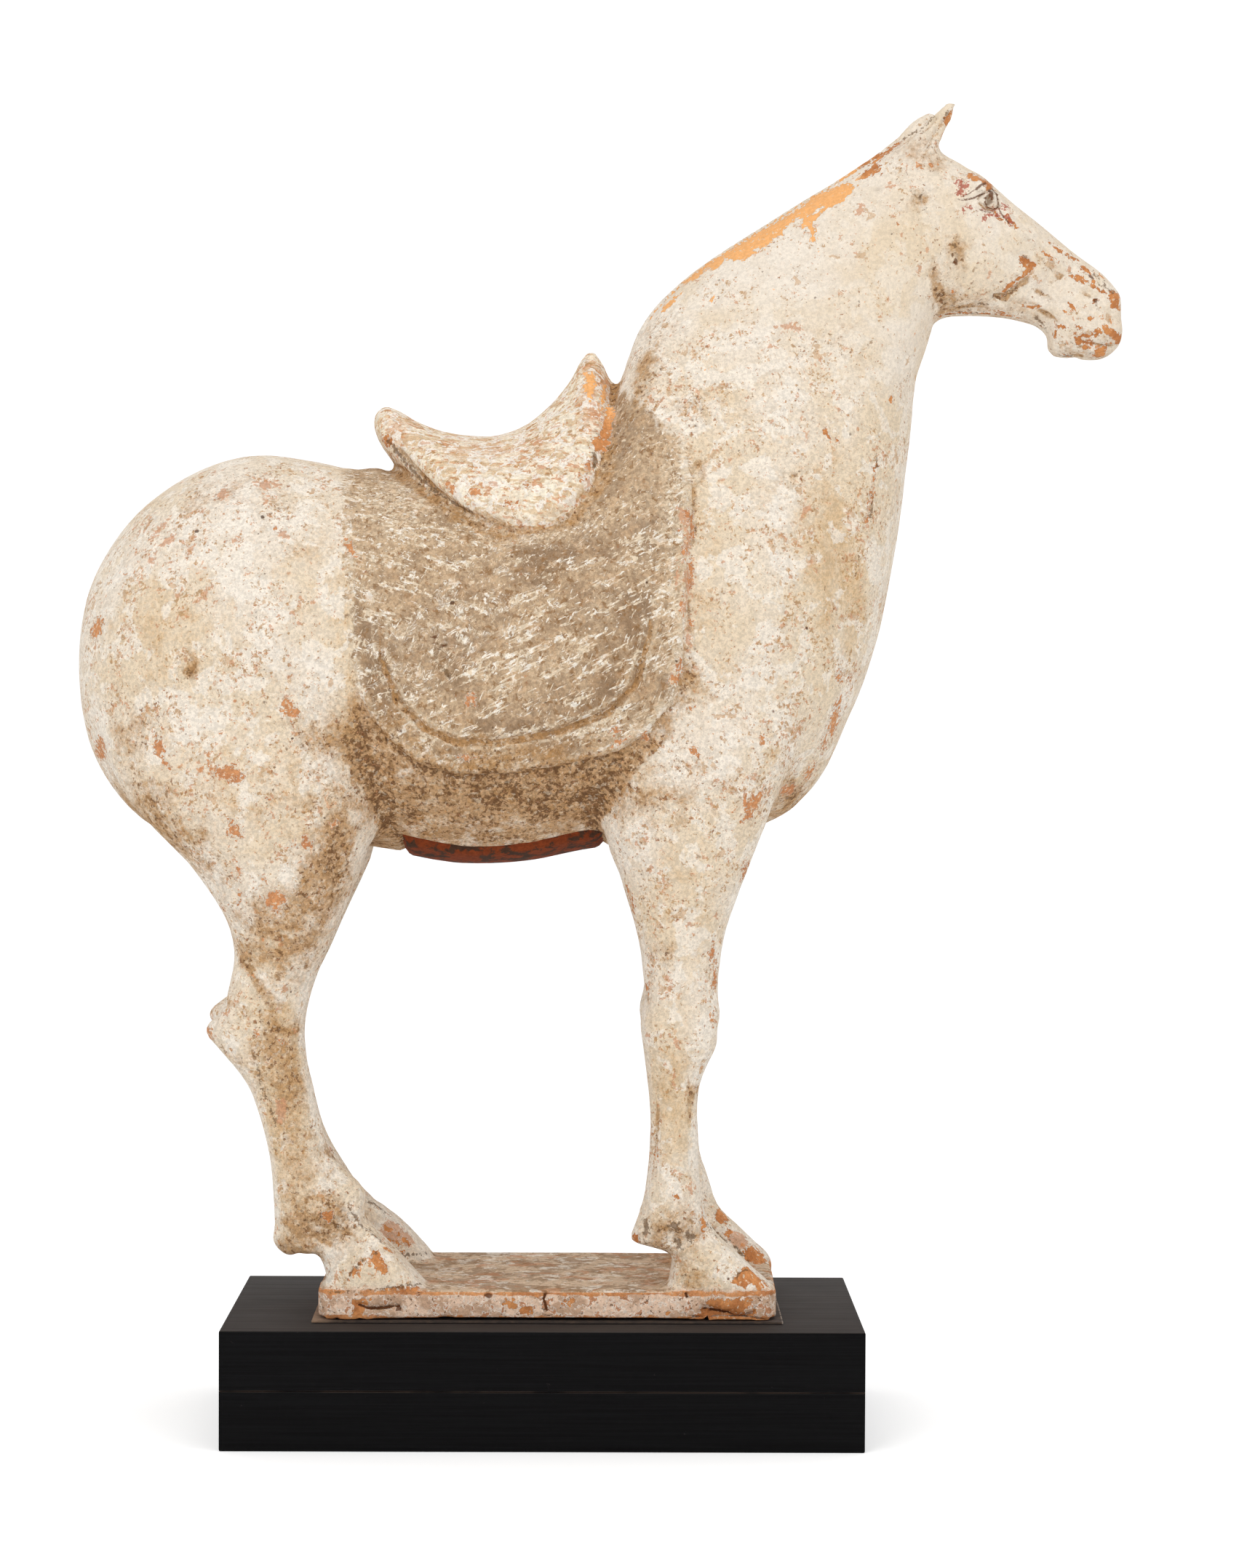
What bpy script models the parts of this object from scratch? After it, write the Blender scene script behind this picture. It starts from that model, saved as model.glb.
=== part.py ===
"""Earthenware saddled horse on a low clay slab, fixed by a thin pad to a plinth of two black boards.

The horse, its saddle and its slab are one fired piece. Side-view points are millimetres of a drawn
horse of DRAWN_HEIGHT, and all of them are scaled to HORSE_HEIGHT. X runs toward the head, Y toward
the horse's left side and Z up, from the middle of the plinth's underside.
"""
import math

import bmesh
import bpy
import numpy as np
from mathutils.bvhtree import BVHTree


# Driving sizes in metres
HORSE_HEIGHT = 0.4260
PLINTH_LENGTH = 0.2220
PLINTH_DEPTH = 0.1169
LOWER_BOARD_THICKNESS = 0.02065
UPPER_BOARD_THICKNESS = 0.02065
BOARD_EDGE_ROUND = 0.0008
PAD_THICKNESS = 0.0006
PAD_MARGIN_X = 0.0022
PAD_MARGIN_Y = 0.0012
GAP = 0.0003

# The drawn horse in millimetres: its height, and the level of its slab's underside
DRAWN_HEIGHT = 426.0
DRAWN_FOOT = 42.8
SCALE = HORSE_HEIGHT / DRAWN_HEIGHT

# The slab in drawn millimetres
SLAB_REAR = -78.5
SLAB_FRONT = 81.5
SLAB_NEAR = -42.0
SLAB_FAR = 45.0
SLAB_TOP = 53.2
SLAB_CORNER = 7.0
SLAB_ARCH = 0.9

# Mesh sizes in drawn millimetres, and the triangles left in the finished horse
VOXEL = 2.1
RING_POINTS = 40
STEPS_BETWEEN = 5
CORNER_STEPS = 5
HORSE_TRIANGLES = 9300

# How far the joins between body and limbs, and between the finer forms, are smoothed, and how often
LIMB_BLEND = 12.0
LIMB_ROUNDS = 14
FINE_BLEND = 3.0
FINE_ROUNDS = 3
FINE_SHARE = 0.5

CLAY_COLOUR = (0.86, 0.78, 0.66)
BOARD_COLOUR = (0.012, 0.011, 0.010)
PAD_COLOUR = (0.09, 0.065, 0.05)

# Trunk, neck and head: top point, bottom point, half width, widest level, top and bottom fullness.
# The sections stand upright at the rump, fan round the withers and lie across the head.
TRUNK = [
    ((-165.6, 276.0), (-165.6, 264.0), 6.0, 0.50, 2.0, 2.0),
    ((-163.5, 290.0), (-163.9, 250.0), 21.0, 0.50, 2.0, 2.0),
    ((-159.2, 303.3), (-160.2, 236.5), 32.5, 0.50, 2.0, 2.0),
    ((-151.0, 316.4), (-152.0, 223.5), 42.0, 0.50, 2.0, 2.1),
    ((-139.5, 328.2), (-141.0, 213.0), 50.0, 0.50, 2.1, 2.2),
    ((-124.0, 338.2), (-126.0, 206.0), 55.5, 0.50, 2.1, 2.3),
    ((-105.0, 344.2), (-106.0, 203.0), 58.5, 0.50, 2.1, 2.3),
    ((-84.0, 342.2), (-84.0, 202.0), 59.0, 0.50, 2.1, 2.3),
    ((-66.0, 338.6), (-64.0, 205.0), 58.5, 0.50, 2.1, 2.2),
    ((-44.0, 338.0), (-44.0, 202.8), 59.5, 0.50, 2.1, 2.2),
    ((-24.0, 338.0), (-26.0, 200.3), 60.5, 0.50, 2.1, 2.2),
    ((-4.0, 341.0), (-6.0, 201.5), 60.5, 0.50, 2.1, 2.2),
    ((12.0, 350.0), (12.0, 205.2), 59.5, 0.52, 2.0, 2.2),
    ((23.6, 366.6), (32.0, 207.0), 58.0, 0.55, 1.9, 2.2),
    ((29.6, 383.0), (52.0, 208.0), 56.0, 0.58, 1.9, 2.2),
    ((37.3, 396.5), (71.0, 211.0), 53.5, 0.60, 1.8, 2.2),
    ((46.5, 406.1), (89.5, 221.0), 50.5, 0.62, 1.8, 2.2),
    ((56.0, 413.9), (103.5, 242.5), 47.0, 0.64, 1.8, 2.2),
    ((66.0, 420.8), (113.4, 267.0), 42.5, 0.64, 1.8, 2.2),
    ((76.5, 427.3), (120.8, 296.0), 37.5, 0.62, 1.8, 2.1),
    ((87.0, 433.9), (125.3, 324.0), 32.5, 0.60, 1.8, 2.1),
    ((97.0, 440.1), (127.9, 347.0), 28.5, 0.58, 1.8, 2.1),
    ((106.5, 446.1), (130.2, 366.0), 25.5, 0.56, 1.8, 2.1),
    ((115.0, 451.6), (133.2, 380.5), 23.5, 0.54, 1.8, 2.1),
    ((124.0, 456.2), (139.0, 394.0), 22.0, 0.50, 1.9, 2.1),
    ((132.5, 455.0), (147.0, 395.4), 21.0, 0.46, 2.0, 2.2),
    ((140.0, 451.6), (155.0, 395.2), 20.5, 0.42, 2.2, 2.2),
    ((148.3, 447.9), (162.5, 394.4), 19.5, 0.38, 2.4, 2.0),
    ((157.5, 440.9), (169.0, 392.9), 17.8, 0.34, 2.5, 1.9),
    ((166.4, 433.6), (173.8, 391.3), 15.6, 0.34, 2.5, 1.9),
    ((174.9, 426.9), (177.4, 387.9), 13.6, 0.36, 2.4, 2.0),
    ((182.5, 421.4), (179.4, 381.3), 12.6, 0.42, 2.3, 2.2),
    ((190.1, 415.8), (186.0, 379.7), 12.2, 0.46, 2.3, 2.3),
    ((196.7, 410.3), (193.0, 379.2), 12.0, 0.48, 2.3, 2.3),
    ((200.8, 405.2), (199.0, 380.8), 11.0, 0.50, 2.2, 2.2),
    ((202.7, 401.3), (202.8, 384.9), 8.5, 0.50, 2.1, 2.1),
    ((203.3, 398.0), (203.9, 389.0), 4.0, 0.50, 2.0, 2.0),
]

# A leg: front point, back point, distance out from the middle plane, half width, fullness
FORE_LEG = [
    ((84.0, 296.0), (34.0, 288.0), 28.0, 15.0, 2.0),
    ((89.5, 270.0), (24.0, 262.0), 31.0, 19.0, 2.1),
    ((89.0, 246.0), (20.0, 241.0), 33.5, 20.0, 2.1),
    ((81.5, 228.0), (19.0, 225.0), 34.0, 19.0, 2.1),
    ((76.3, 213.0), (20.5, 212.0), 34.0, 17.5, 2.1),
    ((72.0, 201.0), (24.0, 201.0), 33.5, 16.0, 2.1),
    ((67.3, 190.0), (28.2, 190.0), 33.0, 14.5, 2.1),
    ((63.6, 180.0), (31.2, 180.0), 32.5, 13.0, 2.1),
    ((61.3, 168.0), (33.6, 168.0), 32.0, 11.5, 2.1),
    ((60.4, 156.0), (34.4, 156.0), 32.0, 11.0, 2.2),
    ((61.3, 146.0), (33.3, 145.0), 32.0, 11.3, 2.3),
    ((60.0, 138.0), (34.1, 138.0), 32.0, 11.0, 2.3),
    ((56.8, 131.0), (35.0, 131.0), 32.0, 9.8, 2.2),
    ((54.2, 124.0), (36.0, 124.0), 32.0, 9.0, 2.1),
    ((53.3, 112.0), (37.0, 112.0), 31.5, 8.5, 2.1),
    ((53.6, 102.0), (36.7, 102.0), 31.5, 8.8, 2.1),
    ((54.3, 92.0), (35.9, 92.0), 31.0, 9.5, 2.2),
    ((55.2, 83.5), (34.8, 84.0), 31.0, 10.3, 2.2),
    ((56.6, 77.5), (32.2, 75.5), 30.5, 10.8, 2.2),
    ((59.0, 73.0), (29.6, 69.4), 30.0, 10.6, 2.2),
    ((62.0, 69.6), (36.5, 67.4), 30.0, 10.6, 2.2),
    ((66.5, 65.5), (44.3, 64.6), 30.0, 11.0, 2.3),
    ((73.5, 59.0), (44.0, 57.0), 30.0, 11.8, 2.4),
    ((79.4, 53.4), (44.4, 53.0), 30.0, 12.2, 2.5),
    ((79.8, 49.0), (44.4, 49.0), 30.0, 12.2, 2.5),
]
HIND_LEG = [
    ((-66.0, 300.0), (-148.0, 292.0), 26.0, 18.0, 2.0),
    ((-54.0, 264.0), (-155.0, 260.0), 30.0, 23.5, 2.1),
    ((-51.0, 240.0), (-152.0, 236.0), 32.0, 25.5, 2.1),
    ((-54.2, 223.0), (-143.5, 221.0), 33.0, 25.0, 2.1),
    ((-59.4, 210.0), (-133.4, 210.0), 33.5, 23.0, 2.1),
    ((-63.8, 198.0), (-122.4, 198.5), 33.5, 20.5, 2.1),
    ((-68.2, 187.0), (-114.6, 188.0), 33.5, 17.5, 2.1),
    ((-72.8, 177.0), (-109.6, 178.0), 33.0, 15.0, 2.1),
    ((-77.2, 167.0), (-108.0, 168.5), 32.5, 12.8, 2.1),
    ((-80.9, 157.0), (-109.7, 159.0), 32.0, 11.3, 2.1),
    ((-83.0, 148.0), (-112.6, 149.6), 32.0, 10.6, 2.1),
    ((-83.5, 142.0), (-118.4, 142.5), 32.0, 10.3, 2.1),
    ((-83.3, 136.5), (-114.3, 136.0), 32.0, 10.2, 2.1),
    ((-82.5, 130.0), (-107.8, 129.5), 32.0, 9.8, 2.1),
    ((-81.0, 124.0), (-103.4, 123.5), 32.0, 9.2, 2.1),
    ((-78.6, 114.0), (-99.6, 113.5), 31.5, 8.8, 2.1),
    ((-76.0, 104.5), (-97.0, 103.5), 31.5, 9.0, 2.1),
    ((-72.8, 95.5), (-95.4, 94.0), 31.0, 9.7, 2.2),
    ((-69.8, 87.5), (-94.6, 85.0), 31.0, 10.4, 2.2),
    ((-67.2, 81.5), (-94.2, 76.5), 30.5, 10.7, 2.2),
    ((-64.2, 77.7), (-95.0, 68.8), 30.0, 10.4, 2.2),
    ((-61.5, 75.0), (-90.4, 63.8), 30.0, 10.2, 2.2),
    ((-57.8, 71.5), (-79.4, 64.4), 30.0, 10.6, 2.3),
    ((-52.0, 65.5), (-76.2, 58.5), 30.0, 11.6, 2.4),
    ((-46.0, 59.0), (-75.6, 55.5), 30.0, 12.2, 2.5),
    ((-42.2, 54.2), (-75.2, 53.0), 30.0, 12.4, 2.5),
    ((-42.0, 49.0), (-75.2, 49.0), 30.0, 12.4, 2.5),
]

# How far forward the far legs stand of the near ones, as height and distance
FAR_FORE_LEAD = [(40, 2.4), (54, 2.6), (66, 3.8), (82, 4.4), (92, 2.0), (120, 1.0), (200, 0.0), (320, 0.0)]
FAR_HIND_LEAD = [(40, 0.6), (56, 0.8), (66, 0.2), (74, -2.2), (82, -2.6), (92, -5.0), (100, -6.2),
                 (130, -6.6), (146, -4.6), (168, -1.6), (205, -1.0), (320, -0.6)]

# An ear: front point, back point, distance out, half thickness
NEAR_EAR = [
    ((141.0, 441.0), (120.0, 446.0), 9.5, 6.5),
    ((138.6, 448.5), (122.5, 452.5), 11.0, 6.0),
    ((138.2, 453.5), (128.5, 457.5), 12.0, 4.6),
    ((140.0, 459.2), (133.8, 462.2), 12.8, 3.3),
    ((141.9, 464.0), (138.0, 466.0), 13.4, 2.2),
    ((143.0, 468.6), (141.2, 469.8), 13.8, 1.2),
]
FAR_EAR = [
    ((137.0, 441.0), (114.0, 445.0), 9.5, 6.5),
    ((135.0, 450.5), (117.5, 453.5), 11.0, 5.6),
    ((135.2, 456.5), (124.5, 460.2), 12.0, 4.2),
    ((136.4, 461.5), (130.0, 465.6), 12.8, 3.1),
    ((138.2, 465.6), (134.2, 468.4), 13.4, 2.2),
    ((139.1, 467.8), (137.2, 469.4), 13.8, 1.2),
]

# The saddle, by upright sections: place, top, level and half width of its lower edge, fullness
SADDLE = [
    (-61.9, 356.0, 353.6, 3.0, 2.0),
    (-60.8, 358.8, 350.6, 8.0, 2.0),
    (-57.8, 361.2, 345.4, 13.0, 2.0),
    (-53.0, 359.8, 341.0, 19.0, 1.8),
    (-46.0, 355.8, 335.5, 27.5, 1.7),
    (-37.0, 352.6, 329.0, 37.0, 1.7),
    (-28.0, 351.1, 323.0, 43.5, 1.7),
    (-18.0, 351.2, 319.3, 47.5, 1.7),
    (-8.0, 355.0, 318.3, 49.0, 1.6),
    (1.0, 363.0, 320.2, 49.0, 1.5),
    (8.0, 372.0, 324.5, 48.0, 1.3),
    (12.2, 379.2, 329.5, 46.0, 1.2),
    (15.2, 381.2, 336.0, 42.0, 1.15),
    (18.0, 378.4, 343.5, 36.0, 1.15),
    (20.3, 374.4, 350.5, 27.0, 1.2),
    (22.3, 369.8, 356.0, 16.0, 1.4),
    (23.6, 367.0, 360.0, 5.0, 2.0),
]
SADDLE_DEPTH = 14.0
SADDLE_TIP_TAPER = 0.3

# The saddle cloth's edge in the side view, closed above the back, and the line cut inside it
CLOTH_EDGE = [
    (24.0, 400.0), (27.0, 369.0), (36.0, 362.0), (43.5, 355.5), (47.8, 347.0), (49.4, 336.0),
    (49.4, 321.6), (48.5, 303.5), (47.6, 287.4), (47.0, 272.0), (43.8, 259.7), (35.2, 247.7),
    (24.9, 241.4), (4.5, 236.4), (-15.7, 233.6), (-29.8, 233.2), (-43.3, 237.2), (-53.3, 245.1),
    (-61.5, 256.3), (-66.0, 271.4), (-67.4, 291.8), (-68.6, 312.1), (-70.0, 327.2), (-71.5, 337.0),
    (-73.0, 400.0),
]
CLOTH_LINE = [
    (38.0, 340.0), (37.1, 321.4), (36.7, 302.4), (35.3, 282.1), (30.7, 263.9), (21.8, 254.7),
    (4.5, 247.7), (-15.6, 244.3), (-29.8, 244.3), (-41.0, 248.9), (-50.2, 258.3), (-55.4, 271.5),
    (-56.9, 286.8), (-57.5, 317.0),
]
CLOTH_RISE = 1.5
CLOTH_LIP = 1.6
SADDLE_CLEARANCE = 1.5
CLOTH_LINE_DEPTH = 0.8
CLOTH_LINE_WIDTH = 2.2

# The bare clay strip that closes the belly, in the side view and across
BELLY_REAR = -50.0
BELLY_FRONT = 20.0
BELLY_HALF_WIDTH = 30.0
BELLY_TOP = 225.0
BELLY_RISE = 1.2

# Modelling pressed into or out of the sides: place, long and short radius, turn in degrees, height
SIDE_SWELLS = [
    ((150.5, 437.5), 8.0, 4.5, -35.0, 2.0),
    ((154.8, 434.6), 3.4, 2.7, -35.0, 1.6),
    ((151.5, 412.0), 17.0, 14.0, -20.0, 1.3),
    ((196.5, 403.0), 5.0, 3.2, -50.0, 1.4),
    ((181.0, 417.5), 16.0, 2.2, -38.0, 0.9),
    ((179.0, 407.5), 13.0, 2.5, -38.0, -0.9),
    ((189.0, 384.5), 6.0, 3.5, -10.0, 0.9),
    ((104.0, 300.0), 40.0, 6.0, 84.0, -2.2),
    ((74.0, 292.0), 34.0, 15.0, 80.0, 2.6),
    ((4.0, 222.0), 40.0, 7.0, 2.0, -0.8),
    ((-60.0, 232.0), 24.0, 7.0, 70.0, -2.2),
    ((46.5, 74.5), 5.0, 4.0, 0.0, 0.9),
    ((-80.0, 80.0), 6.0, 5.0, 0.0, 1.0),
    ((-98.0, 157.0), 14.0, 4.0, 60.0, -0.8),
    ((52.0, 190.0), 22.0, 6.0, 95.0, 0.8),
]

# Lines cut into the sides: points, width and depth
SIDE_LINES = [
    ([(171.2, 412.4), (170.6, 408.0), (166.0, 403.8), (160.6, 401.6), (156.0, 399.6)], 2.2, 1.1),
    ([(204.5, 388.6), (199.0, 387.2), (193.0, 386.8), (188.5, 388.2)], 1.8, 1.0),
    ([(198.8, 400.4), (197.2, 398.2), (197.8, 396.2)], 2.6, 2.0),
    ([(148.6, 437.0), (152.4, 439.0), (156.4, 437.4), (158.8, 432.6)], 1.7, 0.8),
    ([(147.0, 433.8), (151.0, 431.6), (155.6, 431.2), (159.4, 431.0)], 1.7, 0.8),
    ([(115.4, 347.5), (112.6, 325.0), (109.6, 303.0)], 2.4, 0.8),
    ([(-57.0, 206.0), (-60.5, 213.0), (-60.0, 222.0)], 3.5, 1.6),
]

# The slot along the crest that once held the mane, between its two edges
MANE_FROM = (30.0, 384.0)
MANE_TO = (121.0, 455.0)
MANE_HALF_WIDTH = 2.6
MANE_DEPTH = 1.8

# The cleft between the buttocks: where it fades forward, its levels from low to high, width and depth
CLEFT_X = (-150.0, -128.0)
CLEFT_LEVELS = (200.0, 235.0, 285.0, 312.0)
CLEFT_WIDTH = 6.0
CLEFT_DEPTH = 3.2


def clear_scene():
    """Remove every object of the open scene."""
    for item in list(bpy.data.objects):
        bpy.data.objects.remove(item, do_unlink=True)


def new_collection(name):
    """A collection linked to the scene."""
    group = bpy.data.collections.new(name)
    bpy.context.scene.collection.children.link(group)
    return group


def plain_material(name, colour, roughness):
    """A Principled material of one colour."""
    material = bpy.data.materials.new(name)
    material.use_nodes = True
    shader = material.node_tree.nodes["Principled BSDF"]
    shader.inputs["Base Color"].default_value = (*colour, 1.0)
    shader.inputs["Roughness"].default_value = roughness
    shader.inputs["Metallic"].default_value = 0.0
    return material


def between(rows, steps):
    """Rows of numbers joined by a smooth curve through each of them."""
    rows = np.array(rows, float)
    reach = np.linalg.norm(np.diff(rows, axis=0), axis=1)
    at = np.concatenate([[0.0], np.cumsum(reach)])
    slope = np.gradient(rows, at, axis=0)
    smooth = []
    for i in range(len(rows) - 1):
        span = at[i + 1] - at[i]
        for t in np.arange(steps) / steps:
            a = 2 * t ** 3 - 3 * t ** 2 + 1
            b = t ** 3 - 2 * t ** 2 + t
            c = 3 * t ** 2 - 2 * t ** 3
            d = t ** 3 - t ** 2
            smooth.append(a * rows[i] + b * span * slope[i] + c * rows[i + 1] + d * span * slope[i + 1])
    smooth.append(rows[-1])
    return np.array(smooth)


def section(row, points):
    """One closed section in drawn millimetres: top, bottom, side, half width, widest level, fullness."""
    top_x, top_z, low_x, low_z, side, half, level, full_top, full_low = row
    ring = []
    for i in range(points):
        turn = 2 * math.pi * i / points
        up, out = math.cos(turn), math.sin(turn)
        full = max(full_top if up > 0 else full_low, 1.0)
        rise = abs(up) ** (2 / full)
        along = level - rise * level if up > 0 else level + rise * (1 - level)
        y = side + half * math.copysign(abs(out) ** (2 / full), out)
        ring.append((top_x + (low_x - top_x) * along, y, top_z + (low_z - top_z) * along))
    return ring


def loft(name, rows, collection, steps=STEPS_BETWEEN):
    """A closed solid drawn over sections, each a row of section()."""
    shape = bmesh.new()
    rings = [[shape.verts.new(p) for p in section(row, RING_POINTS)] for row in between(rows, steps)]
    for lower, upper in zip(rings, rings[1:]):
        for i in range(RING_POINTS):
            j = (i + 1) % RING_POINTS
            shape.faces.new((lower[i], lower[j], upper[j], upper[i]))
    shape.faces.new(rings[0])
    shape.faces.new(rings[-1])
    bmesh.ops.recalc_face_normals(shape, faces=shape.faces[:])
    mesh = bpy.data.meshes.new(name)
    shape.to_mesh(mesh)
    shape.free()
    solid = bpy.data.objects.new(name, mesh)
    collection.objects.link(solid)
    return solid


def trunk_rows():
    """The trunk, neck and head as rows of section()."""
    return [(*top, *low, 0.0, half, level, a, b) for top, low, half, level, a, b in TRUNK]


def leg_rows(leg, side, lead):
    """A leg as rows of section(), on one side, its far copy shifted by its lead at each height."""
    heights, shifts = zip(*lead)
    rows = []
    for front, back, out, half, full in leg:
        shift_front = np.interp(front[1], heights, shifts)
        shift_back = np.interp(back[1], heights, shifts)
        rows.append((front[0] + shift_front, front[1], back[0] + shift_back, back[1],
                     side * out, half, 0.5, full, full))
    return rows


def ear_rows(ear, side):
    """An ear as rows of section()."""
    return [(*front, *back, side * out, half, 0.5, 2.0, 2.0) for front, back, out, half in ear]


def saddle_rows():
    """The saddle as rows of section(), each widest at the panel's lower edge."""
    rows = []
    for x, top, edge, half, full in SADDLE:
        low = edge - min(SADDLE_DEPTH, SADDLE_TIP_TAPER * half)
        rows.append((x, top, x, low, 0.0, half, (top - edge) / (top - low), full, 2.0))
    return rows


def box(name, low, high, collection):
    """A box between its lowest and highest corners."""
    bpy.ops.mesh.primitive_cube_add(size=1.0)
    block = bpy.context.object
    block.name = name
    for owner in block.users_collection:
        owner.objects.unlink(block)
    collection.objects.link(block)
    for vertex in block.data.vertices:
        vertex.co = [low[i] + (vertex.co[i] + 0.5) * (high[i] - low[i]) for i in range(3)]
    return block


def slab(collection):
    """The clay slab under the hooves, a box with rounded upright corners."""
    block = box("clay_slab", (SLAB_REAR, SLAB_NEAR, DRAWN_FOOT), (SLAB_FRONT, SLAB_FAR, SLAB_TOP), collection)
    shape = bmesh.new()
    shape.from_mesh(block.data)
    upright = [e for e in shape.edges if abs(e.verts[0].co.z - e.verts[1].co.z) > 1.0]
    bmesh.ops.bevel(shape, geom=upright, offset=SLAB_CORNER, segments=CORNER_STEPS, affect="EDGES",
                    profile=0.5)
    shape.to_mesh(block.data)
    shape.free()
    return block


def joined(name, solids, collection):
    """A copy of several solids as one mesh object, ready to be fused."""
    shape = bmesh.new()
    for solid in solids:
        shape.from_mesh(solid.data)
    mesh = bpy.data.meshes.new(name)
    shape.to_mesh(mesh)
    shape.free()
    body = bpy.data.objects.new(name, mesh)
    collection.objects.link(body)
    return body


def fuse(body, voxel):
    """Turn overlapping closed shells into one skin."""
    remesh = body.modifiers.new("fuse", "REMESH")
    remesh.mode = "VOXEL"
    remesh.voxel_size = voxel
    remesh.adaptivity = 0.0
    graph = bpy.context.evaluated_depsgraph_get()
    skin = bpy.data.meshes.new_from_object(body.evaluated_get(graph))
    body.modifiers.clear()
    body.data = skin
    return body


def coordinates(mesh):
    """The mesh's vertex places as an array."""
    flat = np.empty(len(mesh.vertices) * 3)
    mesh.vertices.foreach_get("co", flat)
    return flat.reshape(-1, 3)


def normals(mesh):
    """The mesh's vertex normals as an array."""
    flat = np.empty(len(mesh.vertices) * 3, np.float32)
    mesh.vertex_normals.foreach_get("vector", flat)
    return flat.reshape(-1, 3).astype(float)


def set_coordinates(mesh, places):
    """Write vertex places back."""
    mesh.vertices.foreach_set("co", places.ravel())
    mesh.update()


def edge_pairs(mesh):
    """The mesh's edges as an array of vertex pairs."""
    flat = np.empty(len(mesh.edges) * 2, np.int64)
    mesh.edges.foreach_get("vertices", flat)
    return flat.reshape(-1, 2)


def smoothstep(value, low, high):
    """0 below low, 1 above high and an easy curve between."""
    t = np.clip((value - low) / (high - low), 0.0, 1.0)
    return t * t * (3 - 2 * t)


def soften(mesh, weight, rounds):
    """Average each vertex with its neighbours, by a weight for each vertex."""
    places = coordinates(mesh)
    pairs = edge_pairs(mesh)
    count = np.bincount(pairs.ravel(), minlength=len(places))[:, None]
    for _ in range(rounds):
        total = np.zeros_like(places)
        np.add.at(total, pairs[:, 0], places[pairs[:, 1]])
        np.add.at(total, pairs[:, 1], places[pairs[:, 0]])
        places += (total / count - places) * weight[:, None] * 0.6
    set_coordinates(mesh, places)


def join_weight(mesh, trees, reach):
    """How near each vertex lies to a second of the fused solids, from 0 to 1."""
    weight = np.zeros(len(mesh.vertices))
    for i, vertex in enumerate(mesh.vertices):
        near = []
        for tree in trees:
            hit = tree.find_nearest(vertex.co, reach + 1.0)
            near.append(hit[3] if hit[0] is not None else reach)
        near.sort()
        weight[i] = 1.0 - min(near[1] / reach, 1.0)
    return smoothstep(weight, 0.0, 0.8)


def outline_distance(places, outline):
    """Distance of side-view places to a closed outline, positive inside."""
    corners = np.array(outline)
    nearest = np.full(len(places), np.inf)
    inside = np.zeros(len(places), bool)
    for start, end in zip(corners, np.roll(corners, -1, axis=0)):
        nearest = np.minimum(nearest, segment_distance(places, start, end))
        crossing = (start[1] > places[:, 1]) != (end[1] > places[:, 1])
        rise = end[1] - start[1] if end[1] != start[1] else 1e-9
        at = start[0] + (places[:, 1] - start[1]) * (end[0] - start[0]) / rise
        inside ^= crossing & (places[:, 0] < at)
    return np.where(inside, nearest, -nearest)


def segment_distance(places, start, end):
    """Distance of side-view places to one straight piece."""
    run = end - start
    t = np.clip((places - start) @ run / (run @ run), 0.0, 1.0)
    return np.linalg.norm(places - start - t[:, None] * run, axis=1)


def line_distance(places, line):
    """Distance of side-view places to an open line."""
    points = np.array(line)
    return np.min([segment_distance(places, a, b) for a, b in zip(points, points[1:])], axis=0)


def swell(side_view, place, long, short, turn, height):
    """A soft oval bump or hollow in the side view."""
    angle = math.radians(turn)
    away = side_view - np.array(place)
    along = away[:, 0] * math.cos(angle) + away[:, 1] * math.sin(angle)
    across = -away[:, 0] * math.sin(angle) + away[:, 1] * math.cos(angle)
    return height * np.exp(-(along / long) ** 2 - (across / short) ** 2)


def carve(mesh, trees):
    """Press the horse's modelling into the fused skin."""
    places = coordinates(mesh)
    outward = normals(mesh)
    side_view = places[:, [0, 2]]
    facing = smoothstep(np.abs(outward[:, 1]), 0.3, 0.7)
    shift = np.zeros(len(places))
    for place, long, short, turn, height in SIDE_SWELLS:
        shift += facing * swell(side_view, place, long, short, turn, height)
    for line, width, depth in SIDE_LINES:
        shift -= facing * depth * np.exp(-(line_distance(side_view, line) / width) ** 2 * 2)
    shift += cloth_relief(side_view, facing, trees["saddle"], places)
    shift += belly_relief(places, outward)
    shift += mane_relief(places, outward)
    shift += cleft_relief(places)
    set_coordinates(mesh, places + outward * shift[:, None])


def cloth_relief(side_view, facing, saddle_tree, places):
    """The saddle cloth's thickness and the line cut along its border, clear of the saddle."""
    inside = outline_distance(side_view, CLOTH_EDGE)
    from_saddle = np.full(len(places), SADDLE_CLEARANCE)
    for i in np.flatnonzero(inside > 0):
        hit = saddle_tree.find_nearest(places[i], SADDLE_CLEARANCE)
        from_saddle[i] = hit[3] if hit[0] is not None else SADDLE_CLEARANCE
    bare = smoothstep(from_saddle, 0.2 * SADDLE_CLEARANCE, SADDLE_CLEARANCE)
    rise = CLOTH_RISE * smoothstep(inside, -CLOTH_LIP / 2, CLOTH_LIP / 2)
    line = np.exp(-(line_distance(side_view, CLOTH_LINE) / CLOTH_LINE_WIDTH) ** 2 * 2)
    return bare * (rise - CLOTH_LINE_DEPTH * line * facing)


def belly_relief(places, outward):
    """The clay strip that closes the belly, a little proud of it."""
    along = np.minimum(places[:, 0] - BELLY_REAR, BELLY_FRONT - places[:, 0])
    across = BELLY_HALF_WIDTH - np.abs(places[:, 1])
    strip = smoothstep(np.minimum(along, across), -1.0, 1.5)
    below = smoothstep(-outward[:, 2], 0.5, 0.75) * (places[:, 2] < BELLY_TOP)
    return BELLY_RISE * strip * below


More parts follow.
